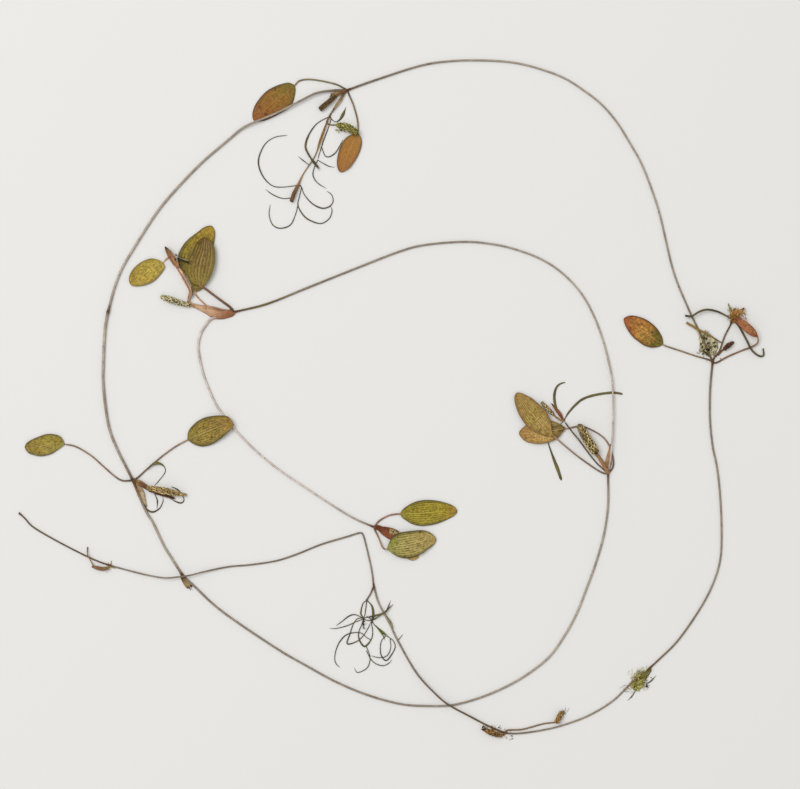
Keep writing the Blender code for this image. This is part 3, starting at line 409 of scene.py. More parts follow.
# Round branches: radii along each branch, and its route, fused in one piece.
BUDS = {
    "bud_base": [
        ([0.3, 0.6, 0.7, 0.66, 0.4], way((108.6, 567.6), (103.6, 568.8), (98.6, 568), (92.4, 566.4))),
        ([0.22, 0.2, 0.2, 0.2], way((94.8, 567.8), (91.6, 561.6, 0.75), (87.9, 554, 0.75), (87.7, 547.1))),
        ([0.2, 0.16, 0.1], way((110.6, 565), (111.2, 563), (111.5, 560.8)))],
    "side_shoot_top_lower": [
        ([0.2] * 10 + [0.34, 0.6, 0.74, 0.66], way((328.4, 118.8), (325, 126.4), (319.6, 140.5),
            (315.2, 155.7), (303.3, 174.1), (297, 187.8), (294.4, 193.2), (292.8, 197.6), (291.6, 201.4)))],
    "threads_far_right": [
        ([0.2, 0.5, 0.7, 0.3], way((730.6, 321.2), (733.8, 318.4), (736.6, 315.2), (739.6, 312))),
        ([0.26, 0.28, 0.36, 0.4, 0.4, 0.36, 0.42], way((732.4, 320), (723.4, 314.7, 0.7),
            (715.3, 311.3, 0.9), (706, 309.9, 1.1), (698, 312.2, 1.1), (691, 316.4, 1.1),
            (684.9, 315.9, 0.9))),
        ([0.26, 0.32, 0.36, 0.38, 0.36, 0.34, 0.26], way((734, 321.4), (738.4, 326), (742.8, 333.5),
            (746.9, 341.6, 0.4), (749.4, 347.6, 0.9), (753.8, 352.7, 0.4), (759.9, 356.3), (763.5, 354.9),
            (763, 348.6)))],
}

# Sheaths and stipules: how high their edges stand, half widths along them, route, look, bands side by side.
# A height under 0 arches the sheet over the stalks.
STIPULES = {
    "sheath_big_leaf": (-1.75, [1.3, 1.7, 1.95, 1.8, 1.4, 1, 0.7], way((234.8, 312.4), (227, 313.8),
        (220.4, 314), (214, 312.6), (207.6, 310), (201.6, 308.2), (195, 305.8)), "salmon"),
    "stipules_tip": (0.5, [0.7, 1.4, 1.8, 2, 1.9], way((374.8, 527), (379.4, 528.6), (384.4, 530.8),
        (390, 533.2), (396, 535.8)), "red", 2),
    "stipule_inner_right": (0.3, [0.6, 1.15, 1.05, 0.8, 0.5, 0.3], way((607.8, 472.6), (607.9, 466),
        (608.6, 459.5), (609.4, 453), (610.2, 446.5)), "tan"),
    "stipule_left": (0.4, [0.5, 1.15, 1.25, 0.8, 0.3], way((133.6, 481.6), (137.6, 486.8), (140.4, 492.2),
        (142.6, 498.2), (145.8, 505.6)), "cream"),
    "stipule_flap": (0.35, [0.4, 0.7, 0.95, 1], way((181.6, 577.2), (184, 580.6), (186.8, 583.8),
        (189.8, 586.8)), "brown"),
}

# Small sheets that grow from the stems and have no solid of their own, held the same way.
BITS = {
    "leaflet_inner_right": (0.3, [0.35, 0.6, 0.62, 0.45, 0.25], way((564, 421.2), (561.4, 417, 0.2),
        (558.6, 412.6, 0.2), (555.4, 408.6), (552.4, 404.8)), "red"),
    "sheet_big_leaf": (0.4, [0.3, 0.5, 0.8, 0.8, 0.4], way((188, 302.6, 0.3), (189.4, 298, 0.5),
        (191.4, 293.6, 0.6), (192, 289.4, 0.4)), "salmon"),
    "twig_big_leaf": (0.05, [0.1, 0.22, 0.2, 0.1], way((176.8, 254.6, 1.7), (181, 258.4, 1.7),
        (190.6, 261.6, 1.9)), "olive"),
    "twig_big_leaf_dark": (0.05, [0.2, 0.42, 0.36, 0.2], way((177.6, 258.4, 1.6), (182, 260.2, 1.7),
        (188.2, 262.8, 1.9)), "dark"),
    "film_far_right": (0.1, [0.3, 1, 2.1, 3, 3.2, 1.4], way((690.6, 325), (699, 331.6), (705.4, 338.6),
        (708.8, 346.4), (710.6, 354.6)), "pale_moss"),
    "film_small_tuft": (0.15, [0.5, 1, 1.6, 2.2, 1.5], way((648.4, 670.6), (644.6, 674.4), (641, 678.6),
        (637.4, 683.6), (634, 688.4)), "moss"),
    "flakes_far_right": (0.5, [0.6, 1.5, 1.7, 1.3, 0.7], way((731.6, 321.4, 0.4), (733.2, 317.6, 0.6),
        (734.6, 313.6, 0.8), (735.6, 309.4, 0.7)), "amber"),
    "flakes_far_right_side": (0.3, [0.5, 0.9, 0.8, 0.3], way((734, 318, 0.6), (738.4, 313, 0.9),
        (743.2, 308.6, 0.8)), "amber"),
    "flake_far_right_green": (0.2, [0.4, 0.55, 0.45, 0.15], way((733, 318, 0.6), (730.4, 311.4, 0.8),
        (728.2, 305, 0.6)), "olive"),
    "stipule_top": (0.3, [0.3, 0.7, 0.9, 0.5], way((346.8, 90.6), (342, 92.6, 0.3), (337, 94.2, 0.3),
        (331.4, 95.6, 0.2)), "brown"),
    "stipule_top_shoot": (0.2, [0.3, 0.5, 0.45, 0.3], way((343.6, 95, 0.3), (340.4, 100, 0.4),
        (337, 105, 0.4), (333.6, 109.6, 0.4)), "brown"),
    "stipule_diagonal": (0.2, [0.2, 0.35, 0.4, 0.2], way((384.6, 613.6, 0.3), (387.6, 617.8, 0.3),
        (390.2, 622, 0.3), (392.4, 627.4, 0.3)), "olive"),
    "stipule_left_knot": (0.3, [0.5, 0.8, 0.75, 0.5], way((132.8, 479.6, 0.3), (136.6, 481, 0.4),
        (141, 482.8, 0.4), (146, 485.8, 0.4)), "brown"),
    "stick_far_right": (0.1, [0.4, 0.34, 0.28, 0.24, 0.16], way((686, 322.6, 0.3), (696, 328.4, 0.8),
        (705.1, 333.5, 0.8), (714.3, 338.5, 0.4), (721, 342.6)), "honey"),
    "leaflet_tuft": (0.1, [0.12, 0.2, 0.24, 0.18, 0.1], way((374.6, 625), (377.8, 628.4), (380.4, 631.8),
        (382.6, 635), (384, 637.8)), "leaf_green"),
    "leaflet_tuft_side": (0.1, [0.12, 0.2, 0.24, 0.2, 0.1], way((374.8, 625), (378.4, 628), (381.8, 630.8),
        (385, 633.6), (387.8, 636.2)), "leaf_green"),
    "sheath_left": (0.5, [0.6, 0.9, 1, 0.7, 0.4], way((146.2, 486.4, 0.8), (150.4, 487.8, 1.2),
        (155, 489.4, 1.4), (160, 490.6, 1.5)), "red"),
    "leaflet_top_shoot": (0.2, [0.12, 0.2, 0.24, 0.16, 0.1], way((328.6, 119, 0.3), (325.6, 127, 0.2),
        (323, 135), (319.6, 145), (316, 154)), "amber"),
    "stipule_small_tuft": (0.25, [0.4, 0.65, 0.6, 0.35], way((649.6, 669, 0.5), (646.4, 671.8, 0.6),
        (643.2, 674.6, 0.6), (639.8, 677.6, 0.5)), "olive_deep"),
}

# Dirt and fluff that cling to the plant: centre, spread, number and length of filaments, number of crumbs,
# lift, dark and light tone, size of the crumbs, radius of the filaments.
DIRT = {
    "moss_far_right": (at(704, 338), (0.9, 1.3), 46, 1.6, 22, 0.4, (58, 46, 22), (178, 166, 112), 0.36,
        0.07),
    "moss_far_right_low": (at(709.4, 349), (1.5, 1.6), 50, 2, 30, 0.7, (36, 28, 14), (128, 110, 60), 0.4,
        0.07),
    "moss_far_right_top": (at(737, 315), (1.3, 0.8), 40, 2.4, 18, 1.4, (138, 94, 44), (204, 156, 88), 0.36,
        0.12),
    "moss_small_tuft": (at(641, 675.6), (1.4, 1.1), 80, 2, 10, 0.5, (136, 126, 56), (192, 184, 110), 0.26,
        0.07),
    "moss_small_tuft_low": (at(637.6, 683.6), (1.4, 1.4), 70, 2.2, 16, 0.5, (110, 100, 42), (184, 174, 92),
        0.26, 0.07),
    "specks_small_tuft": (at(645.8, 685.4), (0.25, 0.15), 0, 1, 3, 0.3, (24, 20, 10), (50, 42, 20), 0.4),
    "specks_big_leaf": (at(181.4, 258.8), (0.8, 0.7), 6, 1.4, 12, 1.5, (30, 24, 12), (84, 72, 40), 0.36),
    "specks_top_green": (at(342.4, 130.4), (1, 0.4), 4, 0.8, 12, 0.6, (60, 52, 20), (176, 166, 92), 0.4),
    "specks_bottom": (at(496, 728.6), (1.4, 0.5), 8, 1, 8, 0.6, (56, 36, 16), (120, 84, 44), 0.4),
    "specks_bottom_side": (at(563.4, 712.2), (0.6, 0.35), 9, 1.6, 7, 0.5, (40, 32, 18), (112, 94, 58),
        0.34),
    "specks_tuft": (at(363.6, 623), (0.25, 0.8), 6, 1, 9, 0.3, (34, 28, 14), (70, 58, 30), 0.36),
    "specks_bottom_end": (at(509.4, 736), (0.6, 0.7), 7, 1.8, 3, 0.2, (60, 44, 22), (150, 116, 70), 0.3),
    "specks_flap": (at(190.6, 587), (0.5, 0.3), 5, 0.8, 6, 0.3, (60, 44, 26), (120, 96, 60), 0.3),
    "specks_bottom_tip": (at(483.4, 727.6), (0.5, 0.35), 2, 0.8, 8, 1.4, (40, 34, 18), (90, 78, 40), 0.34),
    "specks_base": (at(110.6, 566.6), (0.8, 0.8), 16, 1.2, 5, 0.3, (150, 130, 80), (214, 204, 160), 0.2),
}

# The middles of the nodes, where pieces meet.
NODES = way((110.1, 565.3), (373.8, 586.3), (504.3, 732.6), (649.4, 668.1), (712.4, 362), (347.3, 90.2),
    (108.2, 311.7), (132.8, 480), (182.5, 574.8), (607.9, 473), (233.8, 312.2), (374.4, 527.2),
    (329.4, 116.8), (299.2, 185), (731, 322.8), (564, 420.6), (366.8, 599.8))

# Stem tones, and those of each stem from its start to its end.
PALE = (208, 195, 186)
CREAM = (180, 168, 152)
TAN = (164, 151, 136)
GREY = (148, 134, 119)
DIM = (122, 107, 90)
BROWN = (98, 82, 60)
OLIVE_BROWN = (104, 82, 42)
AMBER = (122, 92, 54)
HONEY = (148, 124, 76)
SALMON = (158, 114, 82)
# Painted shade, laid on the two sides of a round stem.
FLANK_SHADE = (96, 70, 52)
STEM_TONES = {
    "stem_base": [DIM, BROWN, BROWN, BROWN],
    "stem_long_run": [GREY, DIM, DIM, GREY],
    "stem_lower_diagonal": [TAN, GREY, DIM, BROWN, OLIVE_BROWN],
    "stem_bottom_right": [DIM, GREY, GREY, OLIVE_BROWN],
    "stem_right_side": [OLIVE_BROWN, GREY, GREY, DIM],
    "stem_top_arc": [OLIVE_BROWN, TAN, TAN, TAN, DIM],
    "stem_left_upper": [DIM, TAN, TAN, CREAM, CREAM],
    "stem_left_lower": [CREAM, CREAM, GREY, TAN, GREY],
    "stem_inner_left": [AMBER, GREY, CREAM, CREAM, TAN],
    "stem_inner_bottom": [GREY, GREY, GREY, CREAM, GREY],
    "stem_inner_arc": [PALE, CREAM, TAN, GREY, GREY, OLIVE_BROWN],
    "stem_tip_run": [PALE, PALE, PALE, PALE, PALE, GREY],
    "side_shoot_top_upper": [AMBER, DIM, TAN, DIM],
    "side_shoot_right": [OLIVE_BROWN, AMBER, BROWN, BROWN],
    "side_shoot_inner_right": [AMBER, BROWN, BROWN, BROWN],
    "side_shoot_tuft": [BROWN, TAN],
    "side_shoot_top_lower": [HONEY, HONEY, HONEY, SALMON, OLIVE_BROWN],
    "bud_base": [HONEY, SALMON, BROWN],
}
KNOT = (88, 52, 28)
PETIOLE = (144, 116, 96)
THREAD_DARK = (70, 62, 36)
THREAD_GREEN = (116, 106, 54)


def linear(colour):
    """A colour as it looks, from 0 to 255, as the linear values that materials take."""
    return tuple(
        value / 255 / 12.92 if value < 11 else ((value / 255 + 0.055) / 1.055) ** 2.4
        for value in colour)


def shade(colour, factor):
    """The colour made darker, or lighter by a factor over 1."""
    return tuple(min(255.0, value * factor) for value in colour)


def places(points):
    """Places as rows of x, y and lift."""
    return np.array([tuple(point) for point in points], float)


def rooted(route):
    """The route, led back to the middle of the node that it starts beside."""
    start = places(route)[0]
    node = min(places(NODES), key=lambda spot: np.linalg.norm(spot[:2] - start[:2]))
    reach = np.linalg.norm(node[:2] - start[:2])
    return [tuple(node)] + list(route) if AT_NODE < reach < NODE_REACH else list(route)


def smooth(points, step, after=None):
    """A curve through every point, at most step between points. after is where it would go on to."""
    given = places(points)
    following = 2 * given[-1] - given[-2] if after is None else places([after])[0]
    ends = np.vstack([2 * given[0] - given[1], given, following])
    curve = [given[:1]]
    for before, start, end, later in zip(ends, ends[1:], ends[2:], ends[3:]):
        count = max(1, math.ceil(np.linalg.norm(end - start) / step))
        t = (np.arange(1, count + 1) / count)[:, None]
        curve.append(0.5 * (
            2 * start
            + (end - before) * t
            + (2 * before - 5 * start + 4 * end - later) * t**2
            + (3 * start - before - 3 * end + later) * t**3))
    curve = np.vstack(curve)
    curve[:, 2] = np.maximum(curve[:, 2], 0.0)
    return curve


def run_of(curve):
    """How far along the curve each point is."""
    steps = np.linalg.norm(np.diff(curve, axis=0), axis=1)
    return np.concatenate([[0.0], np.cumsum(steps)])


def between(values, t):
    """Evenly spaced values, read at t from 0 to 1."""
    return np.interp(t, np.linspace(0, 1, len(values)), values)


def resample(curve, shares):
    """The curve's points at these shares of its length."""
    run = run_of(curve)
    return np.column_stack([np.interp(shares * run[-1], run, curve[:, k]) for k in range(3)])


def even(curve, step):
    """The curve with its points evenly spaced."""
    return resample(curve, np.linspace(0, 1, max(8, int(run_of(curve)[-1] / step))))


def frames(curve):
    """Along, across (to the right, level) and up at each point of a curve."""
    along = np.gradient(curve, axis=0)
    along /= np.maximum(np.linalg.norm(along, axis=1), 1e-9)[:, None]
    across = np.column_stack([along[:, 1], -along[:, 0], np.zeros(len(curve))])
    across /= np.maximum(np.linalg.norm(across, axis=1), 1e-9)[:, None]
    return along, across, np.cross(across, along)


def rough(points, scale, seed):
    """Smooth noise from -1 to 1 at each point, in the same arrangement as the points."""
    flat = points.reshape(-1, 3) * scale + np.array([seed * 7.3, seed * 3.1, seed * 5.7])
    return np.array([noise.noise(Vector(p)) for p in flat]).reshape(points.shape[:-1])


class Shape:
    """Points, faces, and three numbers for each point as its tag, which the materials read."""

    def __init__(self):
        self.points = []
        self.tags = []
        self.faces = []
        self.count = 0

    def strip(self, rings, tags):
        """Closed rings joined by faces, with a cap at each end. Both arrays are rings x points x 3."""
        rows, columns = rings.shape[:2]
        rings = rings.copy()
        rings[:, :, 2] = np.maximum(rings[:, :, 2], 0.0)
        index = self.count + np.arange(rows * columns).reshape(rows, columns)
        after = np.roll(index, -1, axis=1)
        quads = np.stack([index[:-1], after[:-1], after[1:], index[1:]], axis=-1)
        self.points.append(rings.reshape(-1, 3))
        self.tags.append(np.array(tags, float).reshape(-1, 3))
        self.faces.extend(map(tuple, quads.reshape(-1, 4).tolist()))
        self.faces.append(tuple(reversed(index[0].tolist())))
        self.faces.append(tuple(index[-1].tolist()))
        self.count += rows * columns

    def sheet(self, over, under, tags):
        """A thin sheet: its upper and its lower points, rows x columns x 3, closed round the edge."""
        rings = np.concatenate([over, under[:, ::-1]], axis=1)
        self.strip(rings, np.concatenate([tags, tags[:, ::-1]], axis=1))

    def finish(self, node, paint, ending="_detail"):
        """Makes the shape an object with its material, in metres. It replaces the node, if there is one."""
        name = node + ending
        mesh = bpy.data.meshes.new(name)
        mesh.from_pydata((np.vstack(self.points) * MM).tolist(), [], self.faces)
        tag = mesh.attributes.new("grain", "FLOAT_VECTOR", "POINT")
        tag.data.foreach_set("vector", np.vstack(self.tags).astype(np.float32).ravel())
        mesh.validate()
        mesh.shade_smooth()
        mesh.materials.append(paint)
        piece = bpy.data.objects.new(name, mesh)
        bpy.context.scene.collection.objects.link(piece)
        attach(piece, "root")
        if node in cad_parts:
            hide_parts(node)


def ring_points(centre, side, top, reach, rise):
    """Rings round the centres: reach goes to the side and rise to the top, both centres x points."""
    return centre[:, None, :] + side[:, None, :] * reach[:, :, None] + top[:, None, :] * rise[:, :, None]


def tagged(first, second, third):
    """The tags, from three arrays that fit rings x points."""
    return np.stack(np.broadcast_arrays(first, second, third), axis=-1)


def tube(shape, curve, radii, sides=STEM_SIDES, ribs=0.0, third=0.0, seed=0):
    """A round stem with drawn-in ends. The curve is its underside, and third is the tags' last number."""
    run = run_of(curve)
    radii = np.asarray(radii, float) * np.ones(len(curve))
    centre = curve + np.outer(radii, (0, 0, 1))
    along, across, up = frames(centre)
    angle = np.linspace(0, 2 * math.pi, sides, endpoint=False)
    reach = radii[:, None] * (1 + ribs * np.cos(angle * 5 + seed))[None, :]
    rings = ring_points(centre, across, up, reach * np.cos(angle), reach * np.sin(angle))
    around = np.abs(np.linspace(-1, 1, sides, endpoint=False))
    tags = tagged(around, run[:, None], (third * np.ones(len(curve)))[:, None])
    first = centre[0] + (rings[0] - centre[0]) * END_GIRTH - along[0] * radii[0] * END_REACH
    last = centre[-1] + (rings[-1] - centre[-1]) * END_GIRTH + along[-1] * radii[-1] * END_REACH
    rings = np.concatenate([first[None], rings, last[None]])
    shape.strip(rings, np.concatenate([tags[:1], tags, tags[-1:]]))


def stem(name, start, end, route, slot):
    """An internode: even in the middle, thicker and darker where leaves or shoots leave it."""
    curve = even(smooth(rooted(route), STEM_RING), STEM_RING)
    run = run_of(curve)
    length = run[-1]
    seed = len(name) * 1.7
    from_end = np.minimum(run, length - run)
    base = start + (end - start) * run / length
    swell = SWELLING * np.exp(-(from_end / SWELLING_REACH) ** 2)
    slow = SLOW_UNEVENNESS * rough(curve, 0.16, seed)
    quick = QUICK_UNEVENNESS * rough(curve, 0.9, seed)
    shape = Shape()
    radii = STEM_ROUNDNESS * base * (1 + swell + slow + quick)
    tube(shape, curve, radii, ribs=STEM_RIBS, third=np.exp(-from_end / KNOT_REACH), seed=seed)
    shape.finish(name, stem_paint(name, length))


def vein_relief(u, v):
    """How far the veins stand up from the blade: a midrib and parallel side veins."""
    relief = MIDRIB_HEIGHT * np.exp(-((u / MIDRIB_HALF) ** 2)) * (1 - 0.75 * v)
    for k in range(1, VEINS + 1):
        relief = relief + VEIN_HEIGHTS[k % 2] * np.exp(-(((np.abs(u) - k / VEIN_SPACES) / VEIN_HALF) ** 2))
    return relief


def blade(shape, base, tip, one, two, seed, cup=0.22, ruffle=0.1, trough=0.0):
    """A thin blade between its two margins, with veins in relief and an uneven rim. cup and trough raise
    the margins, in a round and in a straight slope, and ruffle makes them wave."""
    # Rows lie closer at both ends, and columns at the margins.
    v = np.linspace(0.004, 0.996, BLADE_ROWS + 1)
    v = 0.65 * v + 0.35 * (1 - np.cos(math.pi * v)) / 2
    sides = [
        resample(smooth([base, *margin, tip], CURVE_STEP, other[-1]), v)
        for margin, other in ((one, two), (two, one))]
    turn = np.cross(sides[0][BLADE_ROWS // 2] - places([base])[0], places([tip])[0] - places([base])[0])[2]
    left, right = sides if turn > 0 else sides[::-1]
    u = np.sin(np.linspace(-math.pi / 2, math.pi / 2, BLADE_COLUMNS + 1))
    u = 0.45 * u + 0.55 * np.linspace(-1, 1, BLADE_COLUMNS + 1)
    grid_u, grid_v = np.meshgrid(u, v)
    share = (grid_u[:, :, None] + 1) / 2
    under = right[:, None, :] * share + left[:, None, :] * (1 - share)
    wave = ruffle * grid_u**2 * (1 + np.sin(grid_v * 9 + np.where(grid_u < 0, 0.7, 2.9) + seed))
    under[:, :, 2] += np.maximum(
        cup * grid_u**2 + wave + BLADE_WAVES * (rough(under, 0.28, seed) + 0.6) + trough * np.abs(grid_u),
        0.0)
    relief = vein_relief(grid_u, grid_v)
    over = under.copy()
    grain = BLADE_GRAIN * rough(over, 1.6, seed)
    over[:, :, 2] += BLADE_THICKNESS * (1 - 0.5 * grid_u**2) + relief + grain
    under[:, :, 2] = np.maximum(under[:, :, 2] - 0.3 * relief, 0.0)
    shape.sheet(over, under, tagged(grid_u, grid_v, 1.0))


def leaf(name, petiole, base, tip, one, two, thick=PETIOLE_RADIUS):
    """Petiole and blade in one. The petiole's tags keep their third number under 0.5."""
    seed = len(name) + 0.37 * base[0]
    shape = Shape()
    blade(shape, base, tip, one, two, seed, **BLADE_BENDS.get(name, {}))
    into = places([base])[0] + PETIOLE_INTO * (places([tip])[0] - places([base])[0])
    curve = even(smooth([*rooted(petiole), base, tuple(into)], THREAD_RING), THREAD_RING)
    share = np.linspace(0, 1, len(curve))
    radii = thick * np.interp(share, [0, 0.05, 0.5, 0.93, 1], [1.35, 1.0, 0.92, 0.95, 0.3])
    tube(shape, curve, radii, sides=STALK_SIDES, ribs=STEM_RIBS, third=0.45 * share, seed=seed)
    shape.finish(name, leaf_paint(name, **LEAF_LOOKS[name]))


def bead(shape, centre, out, round_, along, sizes, tag, dimple=FRUIT_DIMPLE):
    """One small fruit: an egg with a dimple in its outer end."""
    lat = np.linspace(-math.pi / 2, math.pi / 2, FRUIT_RINGS)[:, None]
    lon = np.linspace(0, 2 * math.pi, FRUIT_SIDES, endpoint=False)[None, :]
    height = np.sin(lat) * np.ones(lon.shape)
    girth = np.cos(lat)
    push = height - dimple * np.clip((height - 0.7) / 0.3, 0, 1) ** 2
    grid = (
        centre
        + out * (push * sizes[0])[:, :, None]
        + round_ * (girth * np.cos(lon) * sizes[1])[:, :, None]
        + along * (girth * np.sin(lon) * sizes[2])[:, :, None])
    shape.strip(grid, tagged(tag, (height + 1) / 2, FRUIT_TAG))


def spike(name, stalk, stalk_radius, head, radii, rows, around):
    """A stalk with a head of small fruits in rows around it."""
    dice = random.Random(name)
    shape = Shape()
    route = smooth(rooted(stalk) + list(head[:1]), THREAD_RING)
    thinning = np.linspace(1.15, 0.95, len(route))
    tube(shape, route, thinning * stalk_radius, sides=STALK_SIDES, ribs=STALK_RIBS)
    axis = smooth(head, HEAD_STEP)
    share = run_of(axis) / run_of(axis)[-1]
    girth = between(radii, share)
    spacing = run_of(axis)[-1] / rows
    core = axis + np.outer(girth, (0, 0, CORE_HEIGHT))
    tube(shape, core, girth * CORE_GIRTH, sides=FRUIT_SIDES)
    shape.tags[-1][:] = CORE_TAG
    centre = axis + np.outer(girth, (0, 0, HEAD_HEIGHT))
    along, across, up = frames(centre)
    for row in range(rows):
        k = int(np.argmin(np.abs(share - (row + 0.5) / rows)))
        for n in range(around):
            angle = 2 * math.pi * (n + 0.5 * (row % 2)) / around + dice.uniform(-FRUIT_TURN, FRUIT_TURN)
            out = across[k] * math.cos(angle) + up[k] * math.sin(angle)
            round_ = up[k] * math.cos(angle) - across[k] * math.sin(angle)
            grow = 1 + dice.uniform(-FRUIT_GROWTH, FRUIT_GROWTH)
            depth = FRUIT_DEPTH * girth[k] * grow
            shift = dice.uniform(-FRUIT_SHIFT, FRUIT_SHIFT)
            spot = centre[k] + out * (girth[k] - depth) + along[k] * shift * spacing
            sizes = (depth, math.pi * girth[k] / around * 0.92 * grow, spacing * 0.54 * grow)
            if spot[2] + out[2] * depth > 0.05:
                bead(shape, spot, out, round_, along[k], sizes, dice.random())
    paint, slot = SPIKE_PAINTS.get(name, ("olive", "spike"))
    shape.finish(name, spike_paint(paint))


def thread_into(shape, seed, width, route, peak=0.5, spread=0.22, tip=1.6):
    """A thread or strap leaf: flat, drawn out to a fine tip. peak is where it is widest."""
    curve = smooth(rooted(route), THREAD_RING)
    run = run_of(curve)
    swell = np.exp(-(((run / run[-1] - peak) / spread) ** 2)) * np.interp(run, [0, THREAD_ROOT], [0, 1])
    sizes = THREAD_HALF + max(0.0, width - THREAD_HALF) * swell
    sizes = sizes * (1 + 0.15 * rough(curve, 0.6, seed)) * np.interp(run[-1] - run, [0, tip], [0.3, 1.0])
    thick = np.minimum(sizes, THREAD_THICKNESS)
    centre = curve + np.outer(thick, (0, 0, 1))
    _, across, up = frames(centre)
    angle = np.linspace(0, 2 * math.pi, THREAD_SIDES, endpoint=False)
    twist = THREAD_TWIST * rough(curve, 0.12, seed + 2)[:, None]
    side = across * np.cos(twist) + up * np.sin(twist)
    top = up * np.cos(twist) - across * np.sin(twist)
    rings = ring_points(centre, side, top, sizes[:, None] * np.cos(angle), thick[:, None] * np.sin(angle))
    shape.strip(rings, tagged(np.cos(angle), run[:, None], np.clip((sizes - 0.2)[:, None] * 3, 0, 1)))


def membrane(name, height, halves, route, look, bands=1):
    """A stipule: a thin sheet, ragged at its end. Two bands lie side by side."""
    curve = resample(smooth(rooted(route), CURVE_STEP), np.linspace(0, 1, SHEET_ROWS + 1))
    along, across, _ = frames(curve * (1, 1, 0))
    seed = len(name)
    u, v = np.meshgrid(np.linspace(-1, 1, SHEET_COLUMNS + 1), np.linspace(0, 1, SHEET_ROWS + 1))
    girth = between([halves[0], *halves], v)
    if height < 0:
        girth = girth * np.interp(v, [0.0, 0.1], [0.3, 1.0])
    reach = girth * u
    jags = np.array([noise.noise(Vector((k * 0.7, seed, 0.0))) for k in range(SHEET_COLUMNS + 1)])
    under = curve[:, None, :] + across[:, None, :] * reach[:, :, None]
    under += along[:, None, :] * (v**6 * jags * SHEET_TEETH)[:, :, None]
    edge = np.abs(u) if bands == 1 else np.abs(2 * np.abs(u) - 1)
    rise = edge**SHEET_CURVE
    bend = height * (rise if height > 0 else (rise - 1) * np.sqrt(girth / max(halves)))
    under[:, :, 2] += np.maximum(0.8 * bend + 0.2 * (rough(under, 0.9, seed) + 0.4), 0.0)
    over = under + np.array([0, 0, SHEET_THICKNESS])
    shape = Shape()
    shape.sheet(over, under, tagged(u, v, 1.0))
    shape.finish(name, membrane_paint(look))


def fuzz(name, centre, spread, count, length, crumbs, lift, dark, light, grit=0.26, radius=0.05):
    """Fine filaments and crumbs of dirt that cling to the plant around one place."""
    dice = random.Random(name)
    shape = Shape()

    def spot_near(height):
        right = centre[0] + dice.gauss(0, spread[0])
        return np.array([right, centre[1] + dice.gauss(0, spread[1]), height])

    for _ in range(count):
        heading = dice.uniform(0, 2 * math.pi)
        points = [spot_near(lift * dice.random())]
        for _ in range(max(4, int(length * dice.uniform(0.5, 1.3) / FIBRE_STEP))):
            heading += dice.uniform(-FIBRE_TURN, FIBRE_TURN)
            rise = dice.uniform(-FIBRE_RISE, FIBRE_RISE)
            step = (math.cos(heading) * FIBRE_STEP, math.sin(heading) * FIBRE_STEP, rise)
            points.append(np.maximum(points[-1] + step, (-1e3, -1e3, 0.02)))
        tube(shape, np.array(points), radius * np.linspace(1.0, 0.4, len(points)), sides=FIBRE_SIDES)
    for _ in range(crumbs):
        size = dice.uniform(0.4, 1.0) * grit
        heading = dice.uniform(0, math.pi)
        out = np.array([math.cos(heading), math.sin(heading), 0.0])
        side = np.array([-out[1], out[0], 0.0])
        sizes = (size * dice.uniform(0.8, 1.6), size * dice.uniform(0.5, 1.0), size * 0.6)
        spot = spot_near(lift + size * 0.4)
        bead(shape, spot, out, side, np.array([0, 0, 1.0]), sizes, dice.random(), 0.0)
    shape.finish(name, dirt_paint(name, dark, light), "")


def tuft(name, threads, paint):
    """Thread or strap leaves that leave one node together."""
    shape = Shape()
    for number, thread in enumerate(threads):
        thread_into(shape, number + len(name), *thread)
    shape.finish(name, paint)


def bud(name, branches, paint):
    """Round branches that swell and taper, fused in one piece. The paint is for those that are threads."""
    shape = Shape()
    longest = 0.0
    for number, (radii, route) in enumerate(branches):
        curve = smooth(rooted(route), CURVE_STEP)
        run = run_of(curve)
        sizes = STEM_ROUNDNESS * between(radii, run / run[-1])
        tube(shape, curve, sizes, STALK_SIDES, STALK_RIBS, np.clip((sizes - 0.4) * 2, 0, 0.8), number)
        longest = max(longest, run[-1])
    if name not in STEM_TONES:
        shape.finish(name, paint)
    else:
        shape.finish(name, stem_paint(name, longest))


